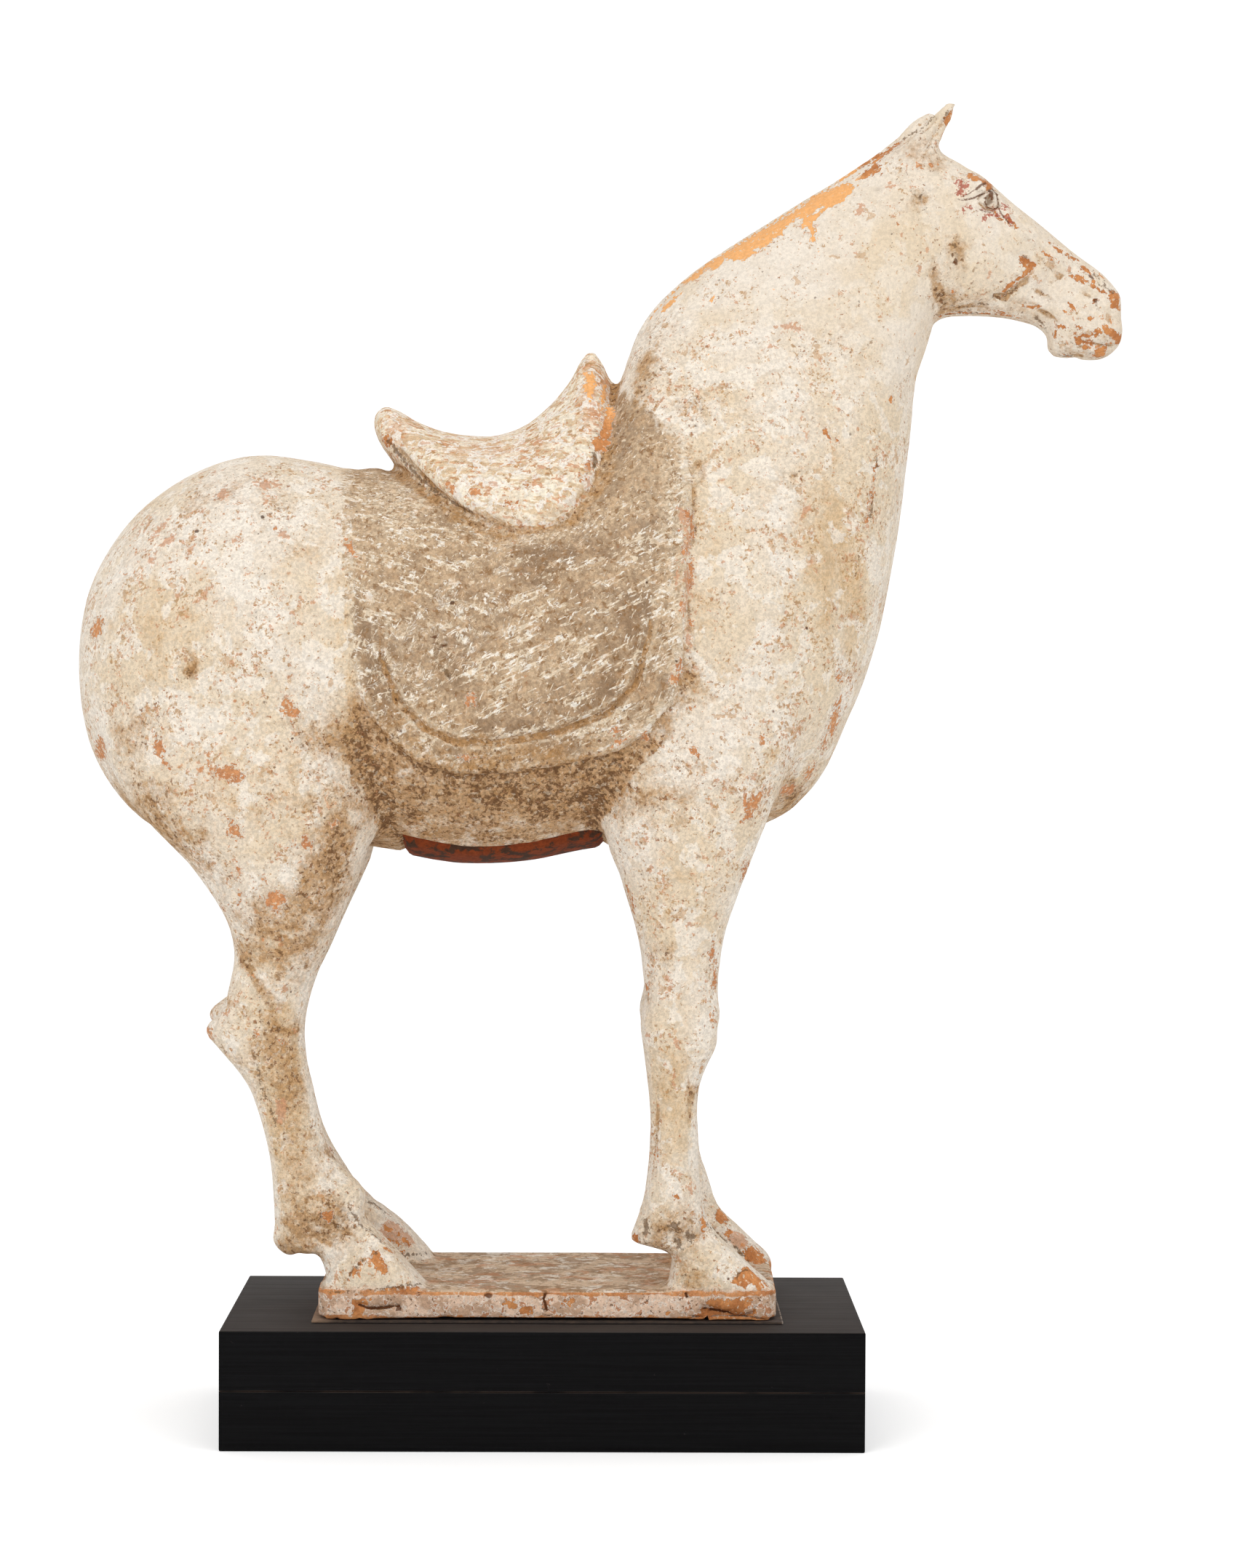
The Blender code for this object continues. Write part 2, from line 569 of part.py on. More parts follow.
def mane_relief(places, outward):
    """The slot of the lost mane along the crest."""
    tops = np.array([row[0] for row in TRUNK])
    chosen = tops[(tops[:, 0] >= MANE_FROM[0] - 1.0) & (tops[:, 0] <= MANE_TO[0] + 4.0)]
    from_crest = line_distance(places[:, [0, 2]], chosen)
    across = 1.0 - smoothstep(np.abs(places[:, 1]), MANE_HALF_WIDTH * 0.5, MANE_HALF_WIDTH * 1.2)
    near = (1.0 - smoothstep(from_crest, 2.0, 5.0)) * smoothstep(outward[:, 2], 0.2, 0.5)
    ends = smoothstep(places[:, 0], MANE_FROM[0] - 4.0, MANE_FROM[0] + 4.0)
    ends *= 1.0 - smoothstep(places[:, 0], MANE_TO[0] - 2.0, MANE_TO[0] + 3.0)
    return -MANE_DEPTH * across * near * ends


def cleft_relief(places):
    """The upright cleft between the buttocks."""
    across = np.exp(-(places[:, 1] / CLEFT_WIDTH) ** 2)
    behind = 1.0 - smoothstep(places[:, 0], *CLEFT_X)
    level = smoothstep(places[:, 2], *CLEFT_LEVELS[:2]) * (1.0 - smoothstep(places[:, 2], *CLEFT_LEVELS[2:]))
    return -CLEFT_DEPTH * across * behind * level


def seat_underside(mesh):
    """Make the slab's underside flat at both ends and gently arched between."""
    places = coordinates(mesh)
    under = places[:, 2] < DRAWN_FOOT + VOXEL * 0.5
    middle = (SLAB_FRONT + SLAB_REAR) / 2
    share = np.abs(places[:, 0] - middle) / (SLAB_FRONT - SLAB_REAR) * 2
    arch = SLAB_ARCH * (1.0 - smoothstep(share, 0.35, 0.8))
    places[under, 2] = DRAWN_FOOT + arch[under]
    set_coordinates(mesh, places)


def horse(collection, forms, material, base_level):
    """The horse, its saddle and its slab, fused and carved as one piece standing at base_level."""
    parts = {
        "trunk": loft("trunk_form", trunk_rows(), forms),
        "near_fore": loft("near_fore_form", leg_rows(FORE_LEG, -1, [(0, 0.0), (500, 0.0)]), forms),
        "far_fore": loft("far_fore_form", leg_rows(FORE_LEG, 1, FAR_FORE_LEAD), forms),
        "near_hind": loft("near_hind_form", leg_rows(HIND_LEG, -1, [(0, 0.0), (500, 0.0)]), forms),
        "far_hind": loft("far_hind_form", leg_rows(HIND_LEG, 1, FAR_HIND_LEAD), forms),
        "near_ear": loft("near_ear_form", ear_rows(NEAR_EAR, -1), forms),
        "far_ear": loft("far_ear_form", ear_rows(FAR_EAR, 1), forms),
        "saddle": loft("saddle_form", saddle_rows(), forms),
        "slab": slab(forms),
    }
    body = joined("earthenware_horse", parts.values(), collection)
    fuse(body, VOXEL)
    trees = {name: tree_of(solid) for name, solid in parts.items()}
    limbs = [trees[name] for name in ("trunk", "near_fore", "far_fore", "near_hind", "far_hind")]
    soften(body.data, join_weight(body.data, limbs, LIMB_BLEND), LIMB_ROUNDS)
    fine = [trees[name] for name in ("trunk", "near_ear", "far_ear", "saddle", "slab")]
    soften(body.data, FINE_SHARE * join_weight(body.data, fine, FINE_BLEND), FINE_ROUNDS)
    carve(body.data, trees)
    seat_underside(body.data)
    places = coordinates(body.data)
    places[:, 2] -= DRAWN_FOOT
    places *= SCALE
    places[:, 2] += base_level
    set_coordinates(body.data, places)
    thin_out(body, HORSE_TRIANGLES)
    body.data.materials.append(material)
    body.data.shade_smooth()
    body.data.set_sharp_from_angle(angle=math.radians(50))
    for solid in parts.values():
        solid.hide_render = True
        solid.display_type = "WIRE"
    return body


def tree_of(solid):
    """A search tree of a solid's faces."""
    shape = bmesh.new()
    shape.from_mesh(solid.data)
    tree = BVHTree.FromBMesh(shape)
    shape.free()
    return tree


def thin_out(body, triangles):
    """Reduce a skin to about a number of triangles, keeping its shape where it bends."""
    body.data.calc_loop_triangles()
    decimate = body.modifiers.new("thin_out", "DECIMATE")
    decimate.decimate_type = "COLLAPSE"
    decimate.use_collapse_triangulate = True
    decimate.ratio = min(1.0, triangles / len(body.data.loop_triangles))
    graph = bpy.context.evaluated_depsgraph_get()
    skin = bpy.data.meshes.new_from_object(body.evaluated_get(graph))
    body.modifiers.clear()
    body.data = skin


def board(name, size, low, collection, material, edge):
    """A box with softened edges, centred over the origin, its underside at low."""
    length, depth, height = size
    block = box(name, (-length / 2, -depth / 2, 0.0), (length / 2, depth / 2, height), collection)
    block.location = (0.0, 0.0, low)
    bevel = block.modifiers.new("edges", "BEVEL")
    bevel.width = edge
    bevel.segments = 2
    bevel.limit_method = "ANGLE"
    block.data.materials.append(material)
    return block


def plinth(collection, material):
    """The two boards of the plinth, one on the other."""
    board("plinth_lower_board", (PLINTH_LENGTH, PLINTH_DEPTH, LOWER_BOARD_THICKNESS), 0.0, collection,
          material, BOARD_EDGE_ROUND)
    board("plinth_upper_board", (PLINTH_LENGTH, PLINTH_DEPTH, UPPER_BOARD_THICKNESS),
          LOWER_BOARD_THICKNESS + GAP, collection, material, BOARD_EDGE_ROUND)


def mounting_pad(collection, material, low):
    """The thin pad between slab and plinth, a little larger than the slab."""
    length = (SLAB_FRONT - SLAB_REAR) * SCALE + 2 * PAD_MARGIN_X
    depth = (SLAB_FAR - SLAB_NEAR) * SCALE + 2 * PAD_MARGIN_Y
    pad = board("mounting_pad", (length, depth, PAD_THICKNESS), low, collection, material,
                PAD_THICKNESS * 0.2)
    pad.location.x = (SLAB_FRONT + SLAB_REAR) / 2 * SCALE
    pad.location.y = (SLAB_FAR + SLAB_NEAR) / 2 * SCALE


def main():
    """Build the whole object."""
    clear_scene()
    figure = new_collection("earthenware_horse_figure")
    forms = new_collection("forms")
    clay = plain_material("painted_clay", CLAY_COLOUR, 0.9)
    black = plain_material("black_board", BOARD_COLOUR, 0.55)
    brown = plain_material("brown_pad", PAD_COLOUR, 0.9)
    plinth(figure, black)
    pad_level = LOWER_BOARD_THICKNESS + GAP + UPPER_BOARD_THICKNESS + GAP
    mounting_pad(figure, brown, pad_level)
    horse(figure, forms, clay, pad_level + PAD_THICKNESS + GAP)


if __name__ == "__main__":
    main()
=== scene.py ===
"""Painted earthenware horse on a clay slab, bedded on a pad on a plinth of two black boards.

Shapes are drawn in millimetres of the side view, with the plinth's underside at nought. Paint and
fine modelling are placed by pixels of the photograph, seen through the same camera.
"""

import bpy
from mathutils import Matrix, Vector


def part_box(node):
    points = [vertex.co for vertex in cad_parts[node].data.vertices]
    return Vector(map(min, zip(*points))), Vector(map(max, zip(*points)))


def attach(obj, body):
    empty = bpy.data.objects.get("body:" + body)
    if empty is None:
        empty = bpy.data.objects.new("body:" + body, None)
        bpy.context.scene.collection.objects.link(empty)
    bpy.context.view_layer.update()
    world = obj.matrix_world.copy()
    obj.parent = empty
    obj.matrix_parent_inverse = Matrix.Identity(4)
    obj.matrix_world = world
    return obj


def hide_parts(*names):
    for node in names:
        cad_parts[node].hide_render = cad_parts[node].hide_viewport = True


bl_info = {
    "name": "Painted earthenware horse",
    "version": (1, 0, 0),
    "blender": (4, 5, 0),
    "location": "3D View > Sidebar > Earthenware",
    "description": "Builds a painted earthenware horse, its plinth and a plain pale studio",
    "category": "Add Mesh",
}

import math
from functools import reduce

import bmesh
import bpy
import numpy as np
from bpy.props import FloatProperty, FloatVectorProperty, IntProperty, PointerProperty
from mathutils import Matrix, Vector, noise
from mathutils.bvhtree import BVHTree

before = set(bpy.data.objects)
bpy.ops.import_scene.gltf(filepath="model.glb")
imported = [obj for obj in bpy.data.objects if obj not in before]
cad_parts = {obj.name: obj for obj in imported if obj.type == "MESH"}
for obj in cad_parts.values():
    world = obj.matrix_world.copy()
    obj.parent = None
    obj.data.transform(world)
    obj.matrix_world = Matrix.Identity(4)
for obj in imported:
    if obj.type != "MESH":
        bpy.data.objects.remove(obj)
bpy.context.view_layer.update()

MM = 0.001

# The photograph's camera: place in metres, turns in degrees, focal length in pixels of its height
PHOTO_WIDTH = 1725
PHOTO_HEIGHT = 2156
CAMERA_PLACE = (0.0161, -1.3493, 0.2729)
CAMERA_YAW = 0.54
CAMERA_PITCH = 1.908
CAMERA_ROLL = 0.274
FOCAL_PIXELS = 5200.0
LONG_SIDE = 36.0
PIXELS_PER_MM = 3.87

# The slab in millimetres
SLAB_REAR = -78.5
SLAB_FRONT = 81.5
SLAB_NEAR = -42.0
SLAB_FAR = 45.0
SLAB_TOP = 53.2
SLAB_FOOT = 42.8
SLAB_CORNER = 7.0
SLAB_ARCH = 0.9

RING_POINTS = 56
STEPS_BETWEEN = 7

# Trunk, neck and head: top point, bottom point, half width, widest level, top and bottom fullness
TRUNK = [
    (-165.6, 276, -165.6, 264, 6, 0.5, 2, 2), (-163.5, 290, -163.9, 250, 21, 0.5, 2, 2),
    (-159.2, 303.3, -160.2, 236.5, 32.5, 0.5, 2, 2), (-151, 316.4, -152, 223.5, 42, 0.5, 2, 2.1),
    (-139.5, 328.2, -141, 213, 50, 0.5, 2.1, 2.2), (-124, 338.2, -126, 206, 55.5, 0.5, 2.1, 2.3),
    (-105, 344.2, -106, 203, 58.5, 0.5, 2.1, 2.3), (-84, 342.2, -84, 202, 59, 0.5, 2.1, 2.3),
    (-66, 338.6, -64, 205, 58.5, 0.5, 2.1, 2.2), (-44, 338, -44, 202.8, 59.5, 0.5, 2.1, 2.2),
    (-24, 338, -26, 200.3, 60.5, 0.5, 2.1, 2.2), (-4, 341, -6, 201.5, 60.5, 0.5, 2.1, 2.2),
    (12, 350, 12, 205.2, 59.5, 0.52, 2, 2.2), (23.6, 366.6, 32, 207, 58, 0.55, 1.9, 2.2),
    (29.6, 383, 52, 208, 56, 0.58, 1.9, 2.2), (37.3, 396.5, 71, 211, 53.5, 0.6, 1.8, 2.2),
    (46.5, 406.1, 89.5, 221, 50.5, 0.62, 1.8, 2.2), (56, 413.9, 103.5, 242.5, 47, 0.64, 1.8, 2.2),
    (66, 420.8, 113.4, 267, 42.5, 0.64, 1.8, 2.2), (76.5, 427.3, 120.8, 296, 37.5, 0.62, 1.8, 2.1),
    (87, 433.9, 125.3, 324, 32.5, 0.6, 1.8, 2.1), (97, 440.1, 127.9, 347, 28.5, 0.58, 1.8, 2.1),
    (106.5, 446.1, 130.2, 366, 25.5, 0.56, 1.8, 2.1), (115, 451.6, 133.2, 380.5, 23.5, 0.54, 1.8, 2.1),
    (124, 456.2, 139, 394, 22, 0.5, 1.9, 2.1), (132.5, 455, 147, 395.4, 21, 0.46, 2, 2.2),
    (140, 451.6, 155, 395.2, 20.5, 0.42, 2.2, 2.2), (148.3, 447.9, 162.5, 394.4, 19.5, 0.38, 2.4, 2),
    (157.5, 440.9, 169, 392.9, 17.8, 0.34, 2.5, 1.9), (166.4, 433.6, 173.8, 391.3, 15.6, 0.34, 2.5, 1.9),
    (174.9, 426.9, 177.4, 387.9, 13.6, 0.36, 2.4, 2), (182.5, 421.4, 179.4, 381.3, 12.6, 0.42, 2.3, 2.2),
    (190.1, 415.8, 186, 379.7, 12.2, 0.46, 2.3, 2.3), (196.7, 410.3, 193, 379.2, 12, 0.48, 2.3, 2.3),
    (200.8, 405.2, 199, 380.8, 11, 0.5, 2.2, 2.2), (202.7, 401.3, 202.8, 384.9, 8.5, 0.5, 2.1, 2.1),
    (203.3, 398, 203.9, 389, 4, 0.5, 2, 2),
]

# A leg: front point, back point, distance out from the middle plane, half width, fullness
FORE_LEG = [
    (84, 296, 34, 288, 28, 15, 2), (89.5, 270, 24, 262, 31, 19, 2.1), (89, 246, 20, 241, 33.5, 20, 2.1),
    (81.5, 228, 19, 225, 34, 19, 2.1), (76.3, 213, 20.5, 212, 34, 17.5, 2.1),
    (72, 201, 24, 201, 33.5, 16, 2.1), (67.3, 190, 28.2, 190, 33, 14.5, 2.1),
    (63.6, 180, 31.2, 180, 32.5, 13, 2.1), (61.3, 168, 33.6, 168, 32, 11.5, 2.1),
    (60.4, 156, 34.4, 156, 32, 11, 2.2), (61.3, 146, 33.3, 145, 32, 11.3, 2.3),
    (60, 138, 34.1, 138, 32, 11, 2.3), (56.8, 131, 35, 131, 32, 9.8, 2.2),
    (54.2, 124, 36, 124, 32, 9, 2.1), (53.3, 112, 37, 112, 31.5, 8.5, 2.1),
    (53.6, 102, 36.7, 102, 31.5, 8.8, 2.1), (54.3, 92, 35.9, 92, 31, 9.5, 2.2),
    (55.2, 83.5, 34.8, 84, 31, 10.3, 2.2), (56.6, 77.5, 32.2, 75.5, 30.5, 10.8, 2.2),
    (59, 73, 29.6, 69.4, 30, 10.6, 2.3), (62, 69.6, 36.5, 67.4, 30, 10.6, 2.5),
    (66.5, 65.5, 44.3, 64.6, 30, 11, 3), (73.5, 59, 44, 57, 30, 11.8, 3.6),
    (79.4, 53.4, 44.4, 53, 30, 12.2, 3.8), (79.8, 49, 44.4, 49, 30, 12.2, 3.8),
]
HIND_LEG = [
    (-66, 300, -148, 292, 26, 18, 2), (-54, 264, -155, 260, 30, 23.5, 2.1),
    (-51, 240, -152, 236, 32, 25.5, 2.1), (-54.2, 223, -143.5, 221, 33, 25, 2.1),
    (-59.4, 210, -133.4, 210, 33.5, 23, 2.1), (-63.8, 198, -122.4, 198.5, 33.5, 20.5, 2.1),
    (-68.2, 187, -114.6, 188, 33.5, 17.5, 2.1), (-72.8, 177, -109.6, 178, 33, 15, 2.1),
    (-77.2, 167, -108, 168.5, 32.5, 12.8, 2.1), (-80.9, 157, -109.7, 159, 32, 11.3, 2.1),
    (-83, 148, -112.6, 149.6, 32, 10.6, 2.1), (-83.5, 142, -118.4, 142.5, 32, 10.3, 2.1),
    (-83.3, 136.5, -114.3, 136, 32, 10.2, 2.1), (-82.5, 130, -107.8, 129.5, 32, 9.8, 2.1),
    (-81, 124, -103.4, 123.5, 32, 9.2, 2.1), (-78.6, 114, -99.6, 113.5, 31.5, 8.8, 2.1),
    (-76, 104.5, -97, 103.5, 31.5, 9, 2.1), (-72.8, 95.5, -95.4, 94, 31, 9.7, 2.2),
    (-69.8, 87.5, -94.6, 85, 31, 10.4, 2.2), (-67.2, 81.5, -94.2, 76.5, 30.5, 10.7, 2.2),
    (-64.2, 77.7, -95, 68.8, 30, 10.4, 2.3), (-61.5, 75, -90.4, 63.8, 30, 10.2, 2.4),
    (-57.8, 71.5, -79.4, 64.4, 30, 10.6, 2.8), (-52, 65.5, -76.2, 58.5, 30, 11.6, 3.4),
    (-46, 59, -75.6, 55.5, 30, 12.2, 3.8), (-42.2, 54.2, -75.2, 53, 30, 12.4, 3.8),
    (-42, 49, -75.2, 49, 30, 12.4, 3.8),
]

# How far forward the far legs stand of the near ones, as height and distance
NO_LEAD = [(0, 0.0), (500, 0.0)]
FAR_FORE_LEAD = [(40, 2.4), (54, 2.6), (66, 3.8), (82, 4.4), (92, 2.0), (120, 1.0), (200, 0.0), (320, 0.0)]
FAR_HIND_LEAD = [(40, 0.6), (56, 0.8), (66, 0.2), (74, -2.2), (82, -2.6), (92, -5.0), (100, -6.2),
                 (130, -6.6), (146, -4.6), (168, -1.6), (205, -1.0), (320, -0.6)]

# An ear: front point, back point, distance out, half thickness
NEAR_EAR = [
    (140.6, 441, 120, 446, 8, 5.6), (137.8, 448.5, 122.5, 452.5, 9.2, 5.2),
    (137.4, 453.5, 128.5, 457.5, 10.6, 4.4), (139.5, 459, 132.6, 462.6, 11.8, 3.5),
    (141.6, 464, 136.4, 466.6, 12.8, 2.7), (142.8, 469.6, 140.6, 471, 13.6, 1.5),
]
FAR_EAR = [
    (137, 441, 114, 445, 9.5, 6.5), (135, 450.5, 117.5, 453.5, 11, 5.6),
    (135.2, 456.5, 124.5, 460.2, 12, 4.2), (136.6, 462.4, 129.2, 466.2, 12.8, 3.3),
    (138.2, 466.6, 133.4, 469.4, 13.4, 2.6), (138.8, 468.9, 136, 471, 13.8, 1.8),
]

CROWN_TOP = 456.0

# The saddle, by upright sections: place, top, level and half width of its lower edge, fullness
SADDLE = [
    (-61.9, 357.6, 355.4, 3, 2), (-60.8, 360, 353.4, 8, 2), (-57.8, 361.8, 349.2, 13, 2),
    (-53, 360.3, 345.2, 19, 1.8), (-46, 356.3, 340, 27.5, 1.7), (-37, 353, 333.6, 37, 1.7),
    (-28, 351.6, 327, 43.5, 1.7), (-18, 351.7, 322.4, 47.5, 1.7), (-8, 355.4, 320.6, 49, 1.6),
    (1, 363.1, 322, 49, 1.5), (8, 371.9, 326, 48, 1.3), (12, 379.4, 330.5, 46, 1.2),
    (15.2, 382, 336, 42, 1.15), (18.2, 379.2, 343.5, 36, 1.15), (20.5, 374.6, 350.5, 27, 1.2),
    (22.3, 369.8, 356, 16, 1.4), (23.6, 367, 360, 5, 2),
]
SADDLE_DEPTH = 14.0
SADDLE_TIP_TAPER = 0.3

# The saddle cloth's edge in the side view, closed above the back, and the line cut inside it, as
# places along and up in turn
CLOTH_EDGE = (
    24, 400, 27, 369, 36, 362, 43.5, 355.5, 47.8, 347, 49.4, 336, 49.4, 321.6, 48.5, 303.5, 47.6, 287.4,
    47, 272, 43.8, 259.7, 35.2, 247.7, 24.9, 241.4, 4.5, 236.4, -15.7, 233.6, -29.8, 233.2, -43.3, 237.2,
    -53.3, 245.1, -61.5, 256.3, -66, 271.4, -67.4, 291.8, -68.6, 312.1, -70, 327.2, -71.5, 337, -73, 400,
)
CLOTH_LINE = (
    38, 340, 37.1, 321.4, 36.7, 302.4, 35.3, 282.1, 30.7, 263.9, 21.8, 254.7, 4.5, 247.7, -15.6, 244.3,
    -29.8, 244.3, -41, 248.9, -50.2, 258.3, -55.4, 271.5, -56.9, 286.8, -57.5, 317,
)

# Broad modelling of the sides in millimetres: place, long and short radius, turn in degrees, height
SIDE_SWELLS = [
    (150.5, 437.5, 8, 4.5, -35, 2), (151.5, 412, 17, 14, -20, 1.3), (181, 417.5, 16, 2.2, -38, 0.9),
    (179, 407.5, 13, 2.5, -38, -0.9), (104, 300, 40, 6, 84, -2.2), (74, 292, 34, 15, 80, 2.6),
    (4, 222, 40, 7, 2, -0.8), (-60, 232, 24, 7, 70, -2.2), (46.5, 74.5, 5, 4, 0, 0.9),
    (-80, 80, 6, 5, 0, 1), (-98, 157, 14, 4, 60, -0.8), (52, 190, 22, 6, 95, 0.8),
]

# Fine modelling of both sides, by pixels of the near one: place, long and short radius, turn, height
FINE_SWELLS = [
    (1361, 275, 10, 7, 50, 2.1), (1346, 254, 18, 6, 33, 1.6), (1376, 262, 9, 4, 50, -0.9),
    (1374, 296, 16, 7, 40, -0.7), (1336, 276, 14, 5, 5, -0.5), (1412, 372, 18, 10, -50, 0.5),
    (1500, 448, 26, 17, 20, 1.4), (1522, 437, 7, 4, 60, -1.7), (1530, 412, 12, 9, 80, 0.8),
    (1466, 478, 14, 8, 10, 0.4), (1506, 484, 13, 5, -12, 0.5), (1440, 410, 46, 9, 28, -1.2),
    (1400, 420, 50, 4, 8, 0.4), (1285, 185, 26, 5, -60, -1.1), (946, 1345, 30, 20, 90, 0.9),
    (958, 1341, 4, 4, 0, -1.6), (700, 770, 12, 5, 20, 0.4), (417, 1673, 9, 20, 0, -0.9),
    (447, 1706, 16, 8, 35, -0.9), (452, 1668, 16, 14, 0, 0.7), (886, 1680, 8, 18, 5, -0.8),
    (929, 1706, 12, 7, 40, -1), (950, 1666, 20, 14, 0, 0.7), (1010, 1745, 26, 12, 45, -0.5),
    (1440, 385, 34, 14, 38, -0.9), (262, 916, 6, 6, 0, -0.5),
]

# Lines cut into both sides, by pixels of the near one: points, one after another, then the width in
# pixels and the depth in millimetres
FINE_LINES = [
    ((1403, 348, 1420, 366, 1412, 384, 1394, 400, 1376, 410), 7, 1.6),
    ((1376, 410, 1350, 420, 1318, 427), 8, 0.9), ((1378, 416, 1420, 422, 1452, 442), 8, 0.9),
    ((1542, 478, 1524, 477, 1506, 475, 1490, 471), 3.2, 1.2),
    ((1486, 433, 1500, 425, 1518, 427, 1530, 436), 3.5, 0.6), ((1478, 492, 1480, 484, 1486, 478), 4, 0.8),
    ((1345, 272, 1352, 264, 1362, 261, 1371, 268, 1373, 280), 2.4, 1.3),
    ((1347, 279, 1355, 286, 1366, 287, 1374, 281), 2.4, 1.2), ((1285, 158, 1276, 170, 1256, 185), 4, 1.6),
    ((1296, 168, 1308, 152), 4, 0.7), ((546, 616, 565, 640, 600, 676, 640, 705, 690, 722), 6, 1.3),
    ((1378, 262, 1398, 300, 1440, 345, 1505, 402), 4, 0.5), ((1402, 324, 1440, 364, 1496, 408), 6, 0.8),
    ((899, 1430, 903, 1520, 900, 1620), 6, 0.5), ((946, 1450, 948, 1540, 951, 1620), 7, 0.4),
    ((325, 1400, 352, 1460, 385, 1560), 9, 0.6), ((452, 1470, 430, 1560, 455, 1640), 9, 0.4),
    ((920, 1692, 945, 1706, 966, 1694, 975, 1688), 6, 0.7), ((966, 1670, 966, 1692), 3, 0.8),
    ((476, 1758, 493, 1738, 518, 1723, 534, 1738), 3.5, 0.8),
    ((1008, 1762, 1020, 1748, 1032, 1744), 3, 0.5),
    ((440, 1672, 470, 1690, 500, 1705, 515, 1716), 6, 0.5),
]

# Ridges left standing on both sides, in the same way
FINE_RIDGES = [
    ((970, 1687, 983, 1700, 1003, 1715, 1023, 1736, 1044, 1756, 1059, 1776), 4, 1),
    ((478, 1664, 493, 1689, 518, 1704, 547, 1727, 578, 1752), 4, 1),
    ((684, 752, 700, 756, 709, 768, 712, 782), 2.5, 0.3),
    ((1330, 436, 1370, 434, 1410, 440, 1440, 452), 4, 0.7), ((1398, 318, 1440, 352, 1500, 398), 4, 0.8),
    ((1366, 252, 1382, 290, 1402, 320), 4, 0.4), ((345, 1420, 372, 1500, 392, 1590), 6, 0.4),
    ((922, 1440, 924, 1530, 926, 1640), 7, 0.4),
]

# Places where the outline is drawn in or out: pixels, reach in pixels, shift along and up in millimetres
NUDGES = [
    (1536, 402, 12, 0.5, 0), (1484, 494, 24, 0, 0.6), (1520, 487, 14, -0.3, 0.1),
    (1440, 462, 14, 0, -0.4), (1325, 438, 36, 0, -0.3), (1290, 440, 14, -1.2, -0.6),
    (1256, 530, 30, -0.9, 0), (1162, 990, 34, -0.8, 0), (1120, 1050, 24, -0.4, 0.1),
    (252, 1178, 34, 0.7, 0.1), (700, 1168, 90, 0, -0.1), (505, 1177, 14, -0.4, 1.3),
    (475, 1250, 60, -0.7, 0), (300, 1440, 24, 1, 0), (1034, 1180, 60, -1.1, 0), (1104, 1096, 18, -0.6, 0),
    (866, 1700, 14, 0.8, 0.2), (380, 1692, 14, 0.8, 0), (410, 1722, 8, 0, 1), (999, 1666, 11, 1.8, 1),
    (450, 630, 60, 0, 0.2), (516, 640, 16, 0.6, 2), (190, 710, 60, -0.5, 0), (843, 526, 11, 0.2, 0.8),
    (1302, 180, 22, -0.5, 0), (1294, 206, 9, 0, 1.2), (1330, 229, 16, -0.2, -0.9),
    (1444, 478, 12, -0.8, 0), (1478, 492, 7, 0, 0.7), (1232, 188, 16, -0.8, -0.5),
    (1160, 230, 56, -0.5, -0.6), (882, 1376, 20, 0.9, 0), (984, 1414, 16, -0.9, 0),
    (816, 1164, 16, 0, 0.3), (290, 1375, 14, 0.8, 0), (848, 1200, 22, 0.7, 0), (1480, 350, 44, 0, -1),
    (456, 1580, 26, -0.6, 0), (505, 1640, 14, -0.5, 0.3), (552, 1682, 16, -0.6, -0.7),
    (1538, 436, 14, -0.6, 0), (1000, 340, 60, 0.2, -0.3), (1388, 280, 40, -0.2, -0.5),
    (600, 1184, 40, 0, -0.7), (1284, 196, 30, 0, -0.4), (1136, 1054, 20, 0.4, 0),
    (998, 1664, 10, 0.5, 0.3), (294, 1388, 10, 0.7, 0),
]

# The slot along the crest that once held the mane, between its two edges
MANE_FROM = (30.0, 384.0)
MANE_TO = (121.0, 455.0)
MANE_HALF_WIDTH = 2.8
MANE_DEPTH = 2.2
NEAR_LIP_DROP = 0.7
FAR_LIP_RISE = 1.0

# Bare clay where the slip is lost, outlined in pixels of the photograph, across and down in turn
MANE_LOSS = [
    (936, 392, 948, 382, 960, 373, 980, 358, 1000, 346, 1030, 328, 1060, 310, 1090, 293, 1110, 279, 1120,
     270, 1140, 261, 1158, 254, 1177, 256, 1172, 262, 1165, 270, 1157, 277, 1152, 289, 1150, 284, 1135,
     285, 1124, 283, 1121, 287, 1118, 294, 1105, 297, 1092, 302, 1084, 305, 1077, 313, 1076, 322, 1062,
     328, 1058, 336, 1046, 338, 1036, 340, 1033, 345, 1035, 352, 1032, 358, 1020, 355, 1008, 357, 1000,
     354, 991, 358, 993, 363, 990, 368, 980, 371, 973, 366, 965, 375, 960, 382, 948, 386),
    (1101, 305, 1104, 300, 1118, 296, 1122, 299, 1121, 305, 1117, 310, 1121, 318, 1122, 324, 1135, 336,
     1124, 334, 1112, 333, 1116, 322, 1115, 317, 1110, 311, 1102, 311),
    (1178, 247, 1182, 240, 1190, 236, 1200, 228, 1208, 226, 1211, 230, 1209, 236, 1198, 240, 1188, 248),
    (909, 430, 914, 420, 928, 408, 935, 407, 930, 416, 918, 424),
]
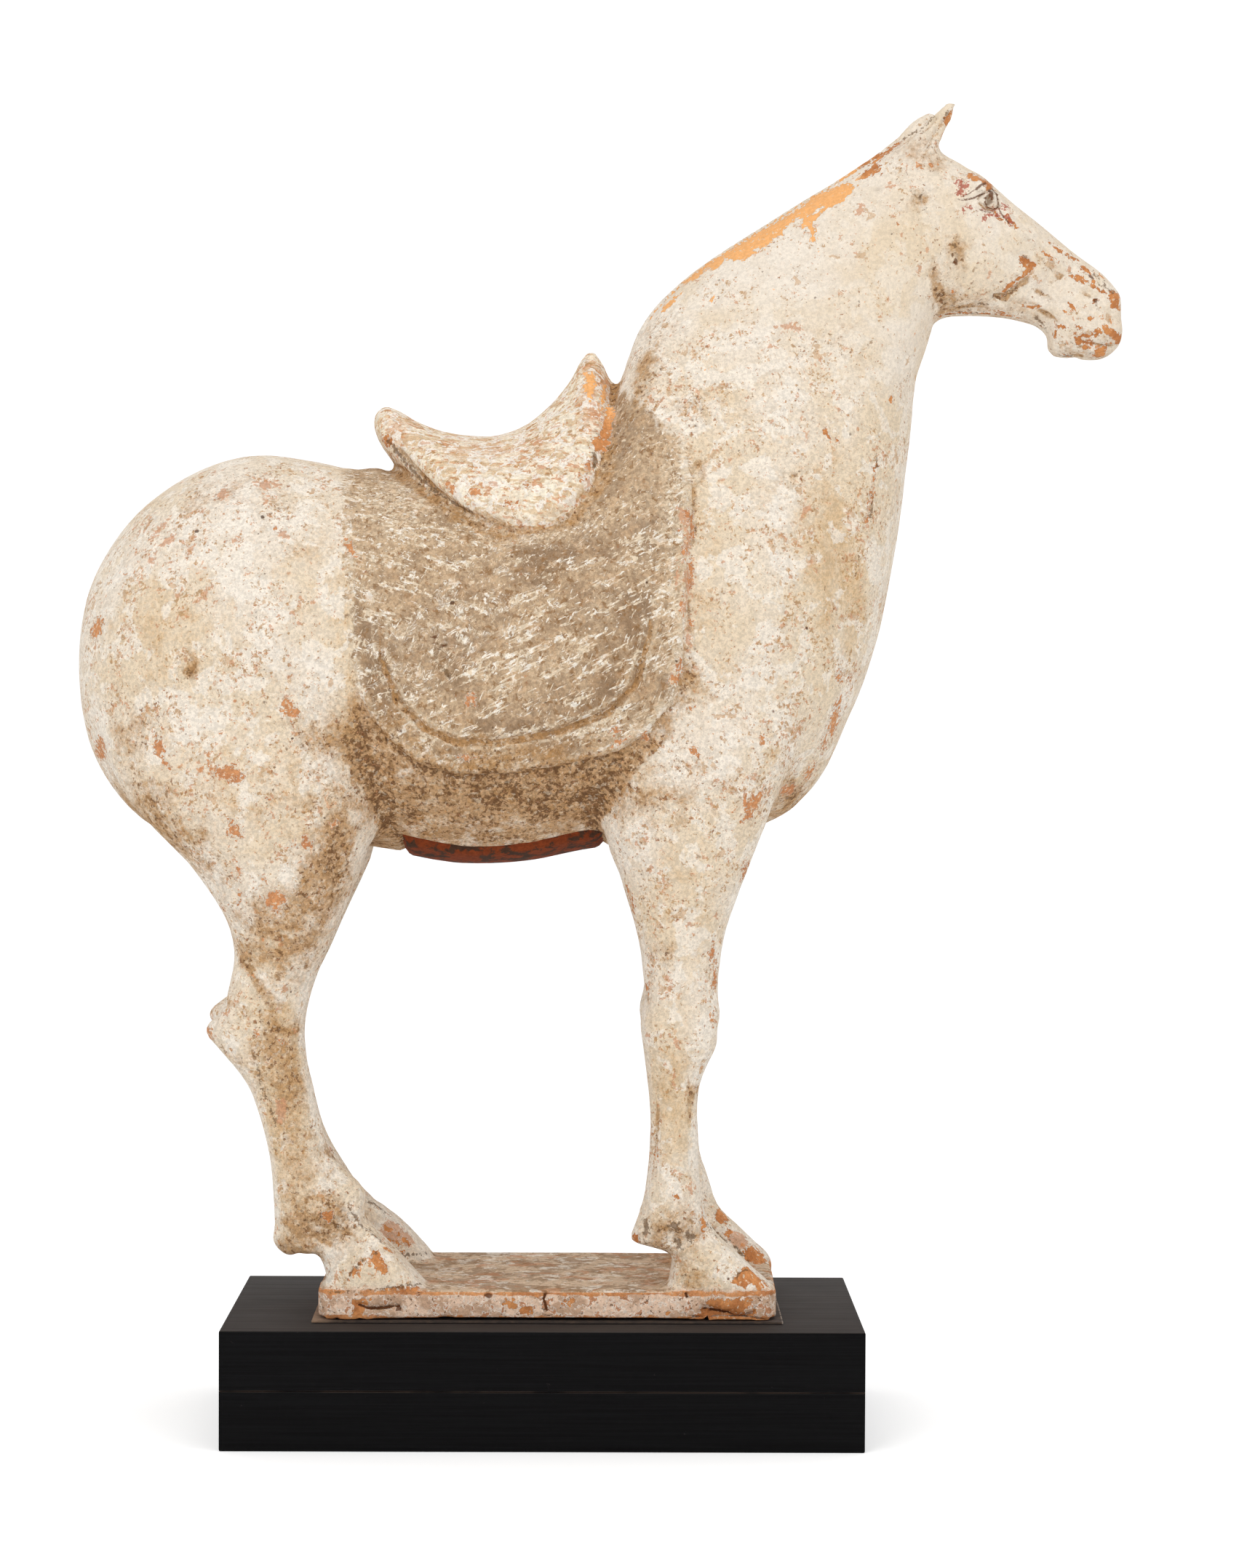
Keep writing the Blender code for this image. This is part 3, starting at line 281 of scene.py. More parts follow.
HEAD_LOSS = [
    (1298, 169, 1300, 161, 1305, 154, 1309, 152, 1308, 160, 1304, 168, 1300, 173),
    (1196, 226, 1222, 204, 1243, 193, 1224, 207, 1200, 226),
    (1329, 241, 1333, 238, 1343, 242, 1348, 246, 1357, 249, 1362, 253, 1363, 261, 1357, 262, 1355, 256,
     1348, 250, 1339, 248, 1332, 246),
    (1401, 352, 1412, 356, 1423, 363, 1418, 372, 1409, 379, 1400, 386, 1388, 395, 1376, 407, 1380, 398,
     1387, 391, 1401, 381, 1410, 371, 1403, 362),
    (1524, 400, 1529, 399, 1534, 404, 1539, 404, 1540, 409, 1538, 416, 1538, 425, 1531, 424, 1527, 422,
     1526, 413),
    (1514, 449, 1520, 448, 1531, 454, 1541, 461, 1543, 468, 1541, 475, 1533, 474, 1530, 468, 1526, 463,
     1520, 458),
    (1501, 457, 1506, 453, 1513, 454, 1512, 460, 1506, 459),
    (1478, 464, 1486, 464, 1488, 468, 1491, 471, 1482, 474, 1480, 470),
    (1513, 480, 1519, 477, 1519, 483, 1517, 490, 1509, 493, 1505, 487, 1509, 482),
    (1472, 379, 1478, 378, 1485, 382, 1490, 387, 1488, 390, 1482, 387, 1476, 383),
]
BODY_LOSS = [
    (836, 556, 843, 566, 840, 590, 836, 606, 828, 618, 820, 616, 824, 600, 830, 584),
    (132, 853, 139, 849, 141, 856, 135, 872, 128, 878, 126, 868),
    (383, 960, 391, 959, 403, 967, 417, 978, 416, 985, 405, 983, 393, 976, 384, 967),
    (283, 1049, 293, 1052, 302, 1056, 314, 1057, 325, 1049, 331, 1042, 336, 1046, 335, 1055, 327, 1061,
     336, 1072, 327, 1075, 321, 1072, 314, 1078, 307, 1071, 298, 1066, 289, 1061),
    (133, 1017, 140, 1014, 145, 1019, 143, 1027, 145, 1040, 139, 1045, 134, 1040, 132, 1027),
    (215, 1000, 217, 1017, 225, 1023, 227, 1036, 233, 1049, 232, 1059, 228, 1055, 221, 1040, 213, 1029,
     205, 1029, 207, 1023, 214, 1019),
    (314, 1125, 321, 1129, 329, 1134, 334, 1146, 331, 1158, 323, 1154, 321, 1146, 312, 1149, 309, 1146,
     318, 1139),
    (386, 1161, 416, 1157, 429, 1153, 439, 1142, 444, 1150, 435, 1157, 429, 1167, 416, 1166, 403, 1164),
    (367, 1230, 378, 1222, 386, 1230, 394, 1239, 393, 1247, 384, 1254, 372, 1251, 365, 1245),
    (801, 513, 816, 513, 819, 520, 816, 536, 812, 551, 808, 543, 802, 532, 806, 522),
    (815, 603, 832, 601, 839, 607, 830, 619, 818, 620, 815, 613),
    (916, 928, 921, 926, 930, 928, 936, 908, 939, 905, 934, 930, 928, 940, 917, 936),
    (1019, 1098, 1022, 1093, 1040, 1090, 1046, 1088, 1047, 1100, 1040, 1108, 1036, 1122, 1028, 1128, 1018,
     1129, 1013, 1123, 1027, 1122, 1027, 1112, 1020, 1107),
    (948, 1027, 954, 1026, 963, 1035, 963, 1040, 957, 1043),
    (1070, 1090, 1075, 1082, 1095, 1077, 1093, 1085, 1080, 1093),
    (1141, 1002, 1141, 995, 1147, 975, 1155, 958, 1153, 985, 1143, 1015),
]
LEG_LOSS = [
    (445, 1668, 455, 1664, 458, 1674, 452, 1680, 446, 1676),
    (982, 1674, 988, 1660, 1000, 1663, 1008, 1672, 998, 1679, 990, 1683),
    (1020, 1722, 1030, 1714, 1040, 1716, 1053, 1732, 1048, 1743, 1035, 1739, 1025, 1730),
    (1040, 1746, 1058, 1742, 1060, 1760, 1055, 1770, 1046, 1762, 1038, 1752),
    (1008, 1762, 1018, 1748, 1030, 1742, 1046, 1760, 1050, 1770, 1044, 1775, 1034, 1762, 1026, 1770, 1018,
     1768),
    (512, 1718, 520, 1722, 528, 1735, 532, 1748, 524, 1754, 520, 1745, 512, 1735),
]
SLAB_LOSS = [
    (484, 1786, 498, 1787, 500, 1800, 498, 1819, 484, 1818, 486, 1800),
    (962, 1799, 976, 1798, 1000, 1804, 1013, 1808, 1030, 1806, 1040, 1800, 1036, 1811, 1061, 1816, 1050,
     1823, 956, 1823, 954, 1812, 962, 1806),
    (967, 1790, 982, 1786, 1003, 1788, 1033, 1788, 1028, 1799, 1018, 1808, 1008, 1809, 1003, 1804, 982,
     1800),
    (500, 1788, 512, 1787, 508, 1797), (912, 1806, 926, 1802, 922, 1807, 914, 1810),
    (690, 1790, 706, 1786, 712, 1796, 700, 1800), (712, 1800, 730, 1796, 733, 1806, 718, 1808),
    (770, 1788, 792, 1786, 790, 1794, 775, 1796),
]

# Bare clay in strokes: points, one after another, then half the width in pixels
BARE_STROKES = [
    ((1203, 626, 1201, 660, 1198, 690), 0.8), ((1192, 700, 1190, 735), 0.7),
    ((1292, 436, 1312, 431, 1335, 431), 0.9), ((1345, 431, 1372, 434, 1398, 438), 1),
    ((1412, 444, 1428, 450, 1438, 457), 1.2), ((1152, 246, 1185, 226, 1210, 212), 1.3),
    ((1463, 489, 1472, 492), 1), ((520, 1775, 553, 1770), 1), ((1006, 1789, 1033, 1785), 1),
]

# The front of the near hind pastern: place and half sizes in pixels, turn in degrees; and its push
# forward in millimetres
NEAR_PASTERN = ((476, 1636), 34, 22, 73)
PASTERN_PUSH = 6.5

# Small bare spots: place, half length and half width in pixels, turn in degrees
SPOTS = [
    (533, 1690, 5, 3, 40), (548, 1697, 4, 2, 40), (560, 1706, 5, 2, 40), (541, 1706, 6, 1.5, 20),
    (1314, 404, 6, 3, 35), (1518, 402, 3, 2, 0), (1420, 421, 7, 2, 5), (1487, 384, 7, 2.5, 28),
    (1475, 356, 6, 2, 50), (1453, 342, 6, 1.5, 38), (1492, 370, 6, 2, 40), (1441, 352, 7, 1.6, 33),
    (1418, 452, 4, 1.5, 30), (1472, 424, 4, 2, 50), (1505, 414, 3, 2, 0), (1457, 449, 6, 2, 10),
    (1392, 308, 5, 2, 45), (1388, 302, 4, 2, 60), (1372, 298, 4, 1.5, 40), (987, 411, 4, 3, 0),
    (973, 422, 5, 3, 20), (1203, 319, 6, 4, 0), (1207, 243, 4, 3, 0), (1152, 609, 2.5, 3.5, 0),
    (1130, 593, 2.5, 2.5, 0), (1223, 548, 2.5, 3.5, 0), (1180, 607, 2, 2, 0), (1225, 620, 4, 2, 30),
    (930, 728, 3.5, 3, 0), (1155, 931, 3, 6, 0), (1166, 934, 2, 3, 0), (1133, 1018, 2.5, 9, 10),
    (970, 1005, 3, 3, 0), (963, 950, 3, 4, 0), (947, 976, 4, 3, 0), (402, 997, 8, 4, 40),
    (462, 1137, 5, 4, 0), (368, 1107, 3, 7, 0), (319, 740, 3, 4, 0), (382, 744, 3, 15, -8),
    (483, 760, 4, 12, -30), (285, 1420, 4, 10, -20), (353, 1413, 5, 5, 0), (390, 1434, 4, 3, 0),
    (866, 1232, 3, 9, -20), (872, 1249, 3, 4, 0), (980, 1309, 3, 8, 0), (983, 1346, 2, 11, 0),
    (1024, 1196, 3, 8, 20), (894, 1360, 3, 5, 0), (899, 1314, 4, 3, 0), (977, 1393, 3, 4, 0),
    (981, 1404, 2, 4, 0), (929, 1647, 4, 4, 0), (903, 1586, 2, 4, 0), (873, 1706, 5, 7, 0),
    (966, 1682, 2.5, 9, 0), (532, 605, 4, 7, -30), (617, 669, 3, 6, -30), (811, 642, 3, 6, 0),
    (800, 657, 4, 3, 0), (721, 667, 5, 3, 0), (651, 676, 8, 4, 0), (852, 1019, 8, 3, -15),
    (849, 1006, 5, 3, 0), (888, 1013, 5, 2.5, 40), (645, 1042, 9, 2.5, 0), (641, 958, 6, 9, 30),
    (617, 827, 3, 3, 0), (841, 570, 3, 8, 0), (829, 545, 3, 12, 10), (327, 1194, 2, 8, 0),
    (331, 1220, 2, 14, 0), (1113, 1060, 3, 9, 30), (1048, 1018, 3, 4, 0), (1481, 467, 4, 4.5, 0),
    (1507, 458, 6, 3, -20), (1510, 486, 7, 5, -40), (1500, 471, 2, 2, 0), (1521, 472, 2, 1.5, 0),
    (1498, 438, 2, 1.5, 0), (1450, 458, 1.5, 3, 0), (1464, 428, 2, 2, 0), (1485, 451, 3, 2, 30),
    (1474, 423, 2.5, 2, 0), (1503, 389, 1.5, 2, 0), (1494, 462, 3, 1.5, 0), (1490, 478, 2, 1.5, 0),
    (1376, 429, 3, 1.5, 0), (1480, 383, 8, 3, 30), (1507, 396, 5, 1.5, 40), (560, 1774, 12, 2.5, -8),
    (543, 1720, 8, 2, 15), (530, 1702, 6, 5, 0), (488, 1748, 3, 12, 40), (1000, 1696, 5, 4, 0),
    (700, 688, 5, 2, 0), (946, 706, 3, 5, 0), (949, 724, 2, 10, -5), (941, 756, 2, 7, 10),
    (950, 790, 1.6, 12, 0), (936, 830, 2, 6, 0), (948, 866, 1.6, 9, 0),
]

# Paler rubbed clay, red paint, ink, and grey or brown stains, in the same ways; among the ink spots and
# stain strokes is painted shade in pits and creases
RUBBED = [
    (520, 1692, 532, 1680, 541, 1678, 556, 1692, 572, 1708, 566, 1714, 546, 1708, 535, 1706, 525, 1700),
    (995, 1700, 1005, 1692, 1020, 1696, 1030, 1708, 1022, 1718, 1012, 1714, 1000, 1706),
    (361, 683, 374, 680, 386, 685, 378, 692, 369, 699, 363, 695),
    (344, 664, 362, 660, 384, 663, 396, 670, 372, 674, 350, 672),
    (228, 714, 238, 708, 222, 730, 205, 748, 208, 736),
    (378, 1516, 392, 1508, 396, 1524, 388, 1546, 380, 1540), (942, 1633, 952, 1628, 958, 1638, 950, 1643),
    (925, 700, 940, 697, 946, 705, 930, 709),
    (1062, 452, 1082, 444, 1118, 450, 1124, 456, 1092, 456, 1070, 458),
    (336, 1012, 330, 1000, 345, 970, 366, 940, 362, 950, 343, 986),
    (728, 608, 744, 600, 752, 606, 736, 616),
]
TAN_CHIPS = [
    (1226, 258, 8, 6, 0), (1193, 291, 1.6, 4, 0), (1186, 281, 2, 2, 0), (1208, 334, 3, 4, 0),
    (1362, 378, 3, 6, -15), (1351, 398, 5, 2.5, -10), (1470, 371, 3, 3, 0), (1325, 355, 3, 3, 0),
    (1138, 341, 3, 1.6, 0), (1060, 644, 2, 1.2, 0), (1178, 300, 2, 8, 0), (402, 997, 3, 3, 0),
    (232, 745, 6, 5, 0), (222, 748, 4, 4, 0), (210, 770, 8, 8, 0), (190, 795, 8, 6, 0),
    (938, 716, 6, 13, 0), (946, 748, 5, 16, 5), (934, 768, 4, 9, 0), (947, 800, 5, 17, 0),
    (940, 838, 4, 11, 0), (948, 880, 4, 16, 0), (930, 790, 3, 6, 0), (305, 680, 10, 7, 0),
    (330, 745, 6, 8, 0), (395, 740, 10, 10, 0), (1105, 700, 9, 8, 0),
]
RED_PAINT = [
    (1312, 249, 1319, 246, 1323, 248, 1325, 253, 1331, 250, 1332, 256, 1328, 260, 1325, 258, 1324, 263,
     1329, 265, 1328, 268, 1322, 271, 1317, 269, 1315, 265, 1319, 256, 1314, 252),
]
RED_SPOTS = [
    (1385, 299, 4, 3, 45), (1389, 306, 4, 3, 45), (1354, 299, 2, 2, 0), (1380, 285, 3, 2, 45),
    (1332, 284, 4, 2.5, 0), (1324, 290, 2, 3, 0), (1383, 300, 2, 5, -40), (1362, 296, 7, 1.5, 0),
    (1372, 296, 3, 3, 0), (1382, 284, 4, 2, 40), (1352, 300, 3, 3, 0), (1364, 288, 8, 1.5, 0),
]
INK_STROKES = [
    ((1300, 266, 1312, 273, 1326, 275), 0.8), ((1324, 275, 1336, 273, 1348, 268, 1353, 266), 1.3),
    ((1322, 271, 1332, 266, 1343, 259), 0.8), ((1342, 260, 1349, 254, 1354, 252), 1.7),
    ((1364, 260, 1370, 268, 1372, 279, 1373, 287, 1378, 297, 1388, 308), 0.9),
    ((1355, 272, 1354, 279, 1358, 285, 1364, 288, 1370, 286), 0.9),
    ((1346, 288, 1354, 291, 1362, 292), 0.7), ((1388, 308, 1400, 322, 1414, 333), 0.5),
    ((1360, 263, 1364, 268, 1363, 274), 1.6),
]
# Ink spots, and painted shade in small pits, as on the fore knee and the slab
INK_SPOTS_AND_PIT_SHADE = [
    (1362, 267, 3, 4.5, 20), (1310, 359, 3, 6, 0), (1306, 362, 3, 4, 0), (1316, 362, 2, 3, 0),
    (1500, 380, 5, 2, 40), (1506, 413, 3, 3, 0), (385, 1087, 3.5, 3.5, 0), (412, 748, 2, 2, 0),
    (453, 836, 2.5, 2, 0), (219, 975, 2, 3, 0), (220, 984, 2, 2, 0), (304, 819, 2, 7, 25),
    (369, 816, 2.5, 6, 40), (1207, 366, 2, 2.5, 0), (500, 1010, 2.5, 2.5, 0), (600, 876, 2, 2, 0),
    (606, 884, 2, 2.5, 0), (612, 900, 2, 3, 0), (549, 1802, 4, 5, 20), (670, 1783, 6, 4, 0),
    (995, 1760, 2.5, 2.5, 0), (1001, 1759, 2, 2, 0), (958, 1341, 4, 4, 0), (1138, 808, 2, 3, 0),
    (893, 738, 2, 2, 0), (708, 767, 1.5, 1.5, 0),
]
STAINS = [
    (918, 1686, 925, 1679, 934, 1682, 932, 1693, 922, 1690),
    (941, 1694, 947, 1692, 956, 1700, 950, 1708, 943, 1702),
    (1305, 338, 1320, 330, 1325, 336, 1316, 340, 1306, 345), (814, 622, 820, 620, 822, 640, 816, 644),
    (602, 886, 614, 882, 622, 892, 612, 898), (608, 918, 616, 920, 622, 934, 612, 938),
    (884, 1676, 890, 1674, 893, 1696, 885, 1700), (926, 1700, 934, 1704, 938, 1718, 930, 1716),
]

# Stains, and painted shadow under the saddle's rear edge, beside the hooves' ridges and along the jaw
STAIN_AND_SHADOW_STROKES = [
    ((534, 606, 552, 630, 572, 652, 594, 672), 2.3), ((594, 672, 622, 690, 650, 706), 1.6),
    ((1284, 161, 1276, 171, 1257, 183, 1242, 190), 0.9),
    ((973, 1684, 986, 1698, 1006, 1711, 1022, 1727, 1038, 1744, 1055, 1762), 1.8),
    ((480, 1662, 496, 1686, 521, 1702, 549, 1725, 579, 1750), 1.3),
    ((507, 1652, 535, 1669, 565, 1694, 587, 1715), 1.2), ((547, 1727, 585, 1723), 1.4),
    ((451, 1777, 510, 1774, 578, 1765), 1), ((346, 1443, 362, 1500, 384, 1556), 1.2),
    ((476, 1758, 493, 1738, 518, 1723), 0.8), ((1008, 1762, 1020, 1748, 1032, 1744), 0.6),
    ((1295, 170, 1299, 160, 1305, 152), 0.7), ((1322, 427, 1345, 428), 0.9),
    ((1300, 433, 1350, 432, 1406, 441), 0.8), ((1428, 449, 1437, 455), 1.3),
    ((1455, 490, 1474, 492), 2.2), ((1200, 603, 1222, 620), 0.6),
    ((1201, 680, 1196, 712, 1190, 740), 1.3), ((1180, 760, 1177, 790), 1.2), ((1203, 620, 1205, 645), 1),
    ((1376, 409, 1390, 398), 0.8), ((1502, 374, 1520, 392), 0.7), ((1508, 390, 1530, 402), 0.6),
    ((1336, 417, 1362, 419), 1.2), ((1424, 436, 1438, 450), 1.2),
]

# Cracks in the slab's near face: points and half width in pixels
CRACKS = [
    ((748, 1769, 750, 1778, 747, 1786, 751, 1798, 756, 1814), 1.6), ((842, 1776, 842, 1800), 0.7),
    ((943, 1779, 946, 1792, 952, 1806, 954, 1814), 1.5),
    ((494, 1794, 508, 1799, 520, 1799, 535, 1797, 548, 1796), 1.4), ((550, 1800, 552, 1818), 1.2),
    ((576, 1778, 577, 1786), 1.2), ((962, 1798, 990, 1802, 1008, 1806), 1.2),
]

# Soft areas of tone by pixels: place, half sizes, turn in degrees, strength. The iris and other
# grey-brown marks come first, with painted shade in the fetlock hollows and on the saddle's rear face
MARKS_AND_PAINTED_SHADE = [
    (1360, 274, 8, 11, 30, 1), (1348, 262, 9, 3, -35, 0.4), (1352, 254, 6, 3, -35, 0.5),
    (929, 1706, 8, 5, 40, 0.5), (886, 1680, 7, 14, 0, 0.4), (447, 1706, 14, 6, 35, 0.5),
    (417, 1673, 8, 16, 0, 0.4), (942, 1756, 12, 9, 0, 0.4), (1003, 1713, 8, 5, 0, 0.3),
    (1509, 418, 5, 8, 0, 0.5), (1463, 470, 8, 8, 0, 0.3), (1310, 418, 10, 8, 20, 0.5),
    (1264, 272, 6, 9, 0, 0.7), (1258, 262, 10, 8, 0, 0.35), (1272, 285, 7, 6, 0, 0.4),
    (1312, 348, 10, 12, 0, 0.4), (1310, 360, 4, 7, 0, 0.8), (948, 538, 9, 5, 0, 0.6),
    (893, 520, 5, 5, 0, 0.5), (410, 757, 5, 4, 0, 0.6), (778, 586, 6, 4, 60, 0.8),
    (817, 633, 4, 10, 0, 0.7), (262, 917, 7, 6, 0, 0.7), (1497, 380, 6, 2.5, 40, 0.7),
    (1483, 440, 12, 5, 20, 0.4), (607, 892, 12, 26, -10, 0.75), (822, 596, 10, 6, 0, 0.6),
    (565, 648, 8, 22, -42, 0.6),
]
CRUMBLY = [
    (546, 1696, 26, 12, 42, 1), (515, 1735, 16, 20, 0, 0.8), (1045, 1735, 20, 30, -20, 0.7),
    (1500, 470, 30, 20, 0, 1), (1526, 436, 14, 14, 0, 0.7), (1484, 420, 9, 7, 0, 0.7),
    (1466, 430, 9, 7, 0, 0.6), (1270, 226, 26, 14, 0, 0.8), (1312, 234, 20, 8, 40, 0.5),
    (1240, 216, 16, 10, 0, 0.7), (1130, 1010, 36, 60, -20, 0.6), (1150, 940, 9, 50, 10, 0.7),
    (1010, 1100, 40, 30, 0, 0.6), (300, 1060, 60, 50, 0, 0.7), (230, 1000, 30, 60, 0, 0.6),
    (140, 1000, 16, 60, 0, 0.6), (330, 960, 60, 40, 30, 0.5), (360, 1220, 30, 40, 0, 0.6),
    (400, 990, 30, 16, 30, 0.6), (500, 1750, 40, 20, 0, 0.7), (930, 1755, 20, 18, 0, 0.6),
    (1372, 300, 20, 9, 45, 0.6), (1512, 384, 22, 7, 40, 0.8), (630, 690, 60, 12, 20, 0.5),
    (500, 620, 20, 30, 20, 0.6), (950, 780, 10, 110, 0, 0.7), (440, 1440, 30, 60, 0, 0.5),
    (340, 1330, 40, 60, 0, 0.6), (990, 1320, 14, 60, 0, 0.6), (885, 1450, 8, 60, 0, 0.5),
    (190, 770, 40, 40, 40, 0.5), (700, 1165, 120, 20, 0, 0.6), (1080, 1250, 30, 60, 0, 0.4),
    (1245, 560, 14, 70, 10, 0.5), (1230, 300, 30, 30, 0, 0.45), (960, 500, 30, 30, 0, 0.45),
]
GRIME = [
    (700, 1090, 250, 55, 0, 1), (870, 1110, 45, 45, 0, 0.35), (520, 1090, 60, 110, 0, 0.8),
    (455, 1190, 40, 110, 20, 0.9), (215, 1120, 90, 40, 40, 0.6), (385, 1290, 60, 70, 0, 0.7),
    (395, 1500, 45, 160, -10, 0.55), (430, 1680, 60, 60, 0, 0.8), (930, 1690, 50, 30, 0, 0.6),
    (885, 505, 34, 70, 20, 0.55), (1262, 215, 40, 30, -30, 0.35), (1280, 222, 18, 26, 0, 0.5),
    (1300, 410, 26, 10, 10, 0.6), (1085, 1100, 35, 30, 30, 0.6), (262, 916, 16, 14, 0, 0.9),
    (480, 1010, 70, 60, 0, 0.7), (300, 680, 90, 18, -20, 0.35), (410, 757, 12, 8, 0, 0.8),
    (1090, 660, 16, 14, 0, 0.6), (950, 1760, 26, 26, 0, 0.7), (440, 1745, 30, 40, 0, 0.35),
    (1266, 274, 15, 17, 0, 0.75), (1313, 345, 17, 24, 0, 0.7), (1230, 690, 10, 12, 0, 0.7),
    (960, 560, 40, 30, 20, 0.4), (170, 1020, 50, 80, 30, 0.4), (380, 690, 40, 40, 0, 0.3),
    (1150, 470, 60, 18, 10, 0.3),
]
OCHRE = [
    (340, 1090, 150, 110, 0, 0.5), (955, 1750, 45, 40, 0, 0.6), (500, 1750, 50, 40, 0, 0.4),
    (230, 870, 100, 80, 0, 0.6), (430, 770, 50, 90, 0, 0.45), (1155, 790, 50, 170, -8, 1),
    (960, 830, 60, 150, 0, 0.45), (930, 1230, 60, 110, 0, 0.5), (920, 1520, 45, 110, 0, 0.8),
    (1180, 480, 60, 50, 0, 0.4), (1225, 690, 22, 120, 0, 0.7), (500, 640, 60, 30, 0, 0.5),
    (1000, 560, 60, 40, 0, 0.4), (390, 1500, 40, 200, 0, 0.8), (1320, 320, 30, 30, 0, 0.35),
    (1010, 660, 60, 60, 0, 0.25), (1215, 330, 30, 50, 0, 0.6), (1262, 320, 46, 60, 0, 0.5),
    (1180, 430, 60, 60, 0, 0.45), (480, 880, 24, 160, 0, 0.7), (824, 550, 22, 60, 0, 1.3),
    (540, 590, 26, 22, 0, 0.7), (660, 618, 90, 9, 0, 0.6), (960, 700, 20, 120, 0, 0.5),
    (700, 620, 90, 25, 0, 0.3), (1080, 1040, 60, 50, 30, 0.5),
]
WORN_WHITE = [
    (905, 985, 45, 12, -40, 1), (880, 700, 14, 60, 0, 0.35), (720, 735, 50, 12, 0, 0.7),
    (505, 800, 12, 90, 0, 0.35), (800, 860, 70, 16, -55, 0.5), (942, 620, 22, 100, 0, 0.7),
    (700, 690, 110, 22, 0, 0.6), (600, 1000, 60, 10, 25, 0.5), (932, 850, 20, 90, 0, 1),
    (930, 700, 24, 70, 0, 0.9), (545, 690, 45, 48, 0, 0.7), (560, 880, 60, 10, 5, 0.4),
    (850, 1010, 60, 10, -18, 0.6),
]
CLOTH_DARK = [
    (600, 880, 70, 60, 0, 0.4), (820, 960, 90, 30, -25, 0.45), (860, 600, 30, 60, 0, 0.1),
    (690, 1000, 110, 16, 0, 0.4), (520, 930, 22, 90, -15, 0.6), (880, 820, 20, 150, 3, 0.25),
    (760, 760, 120, 30, -20, 0.3), (910, 950, 20, 25, 0, 0.4),
]

FAR_SHIFT = (41.0, -27.0)
FIELD_REACH = 4.0

# The strip that closes the belly, and the levels that the belly lies between
STRIP_REAR = -50.0
STRIP_FRONT = 20.0
STRIP_HALF_WIDTH = 27.0
BELLY_FOOT = 150.0
BELLY_TOP = 225.0

# The head's lowest level and the saddle's middle, in millimetres, and places that are modelled more
# finely, in pixels
HEAD_FOOT = 390.0
SADDLE_MIDDLE = -18.0
EYE_PLACE = (1360, 280)
MUZZLE_PLACE = (1500, 450)
CHEEK_PLACE = (1410, 390)
EAR_PLACE = (1280, 178)


def srgb(red, green, blue):
    """A colour given as 0 to 255 screen values."""
    shares = (red / 255, green / 255, blue / 255)
    return tuple(((c + 0.055) / 1.055) ** 2.4 if c > 0.04 else c / 12.92 for c in shares)


# ---- forms ----


def between(rows, steps):
    """Rows of numbers joined by a smooth curve through each of them."""
    rows = np.array(rows, float)
    reach = np.linalg.norm(np.diff(rows, axis=0), axis=1)
    at = np.concatenate([[0.0], np.cumsum(reach)])
    slope = np.gradient(rows, at, axis=0)
    smooth = []
    for i in range(len(rows) - 1):
        span = at[i + 1] - at[i]
        for t in np.arange(steps) / steps:
            a = 2 * t ** 3 - 3 * t ** 2 + 1
            b = t ** 3 - 2 * t ** 2 + t
            c = 3 * t ** 2 - 2 * t ** 3
            d = t ** 3 - t ** 2
            smooth.append(a * rows[i] + b * span * slope[i] + c * rows[i + 1] + d * span * slope[i + 1])
    smooth.append(rows[-1])
    return np.array(smooth)


def section(row, points):
    """One closed section: top, bottom, side, half width, widest level, fullness above and below."""
    top_x, top_z, low_x, low_z, side, half, level, full_top, full_low = row
    ring = []
    for i in range(points):
        turn = 2 * math.pi * i / points
        up, out = math.cos(turn), math.sin(turn)
        full = max(full_top if up > 0 else full_low, 1.0)
        rise = abs(up) ** (2 / full)
        along = level - rise * level if up > 0 else level + rise * (1 - level)
        y = side + half * math.copysign(abs(out) ** (2 / full), out)
        ring.append((top_x + (low_x - top_x) * along, y, top_z + (low_z - top_z) * along))
    return ring


def skirt(shape, lower, upper):
    """Faces all the way round between two rings of points."""
    for a, b, c, d in zip(lower, lower[1:] + lower[:1], upper[1:] + upper[:1], upper):
        shape.faces.new((a, b, c, d))


def loft(rows):
    """A closed shape drawn over sections."""
    shape = bmesh.new()
    rows = between(rows, STEPS_BETWEEN)
    rings = [[shape.verts.new(place) for place in section(row, RING_POINTS)] for row in rows]
    for lower, upper in zip(rings, rings[1:]):
        skirt(shape, lower, upper)
    shape.faces.new(rings[0])
    shape.faces.new(rings[-1])
    bmesh.ops.recalc_face_normals(shape, faces=shape.faces[:])
    return shape


def block(low, high):
    """A box between two corners."""
    shape = bmesh.new()
    bmesh.ops.create_cube(shape, size=1.0)
    for vertex in shape.verts:
        vertex.co = [low[i] + (vertex.co[i] + 0.5) * (high[i] - low[i]) for i in range(3)]
    return shape


def trunk_rows():
    """The trunk, neck and head as rows of section()."""
    return [(*ends, 0.0, half, level, a, b) for *ends, half, level, a, b in TRUNK]


def leg_rows(leg, side, lead):
    """A leg as rows of section(), on one side, its far copy shifted by its lead at each height."""
    heights, shifts = zip(*lead)
    rows = []
    for front_x, front_z, back_x, back_z, out, half, full in leg:
        front_x += np.interp(front_z, heights, shifts)
        back_x += np.interp(back_z, heights, shifts)
        rows.append((front_x, front_z, back_x, back_z, side * out, half, 0.5, full, full))
    return rows


def ear_rows(ear, side):
    """An ear as rows of section()."""
    return [(*ends, side * out, half, 0.5, 2.0, 2.0) for *ends, out, half in ear]


def saddle_rows():
    """The saddle as rows of section(), each widest at the panel's lower edge."""
    rows = []
    for x, top, edge, half, full in SADDLE:
        low = edge - min(SADDLE_DEPTH, SADDLE_TIP_TAPER * half)
        rows.append((x, top, x, low, 0.0, half, (top - edge) / (top - low), full, 2.0))
    return rows


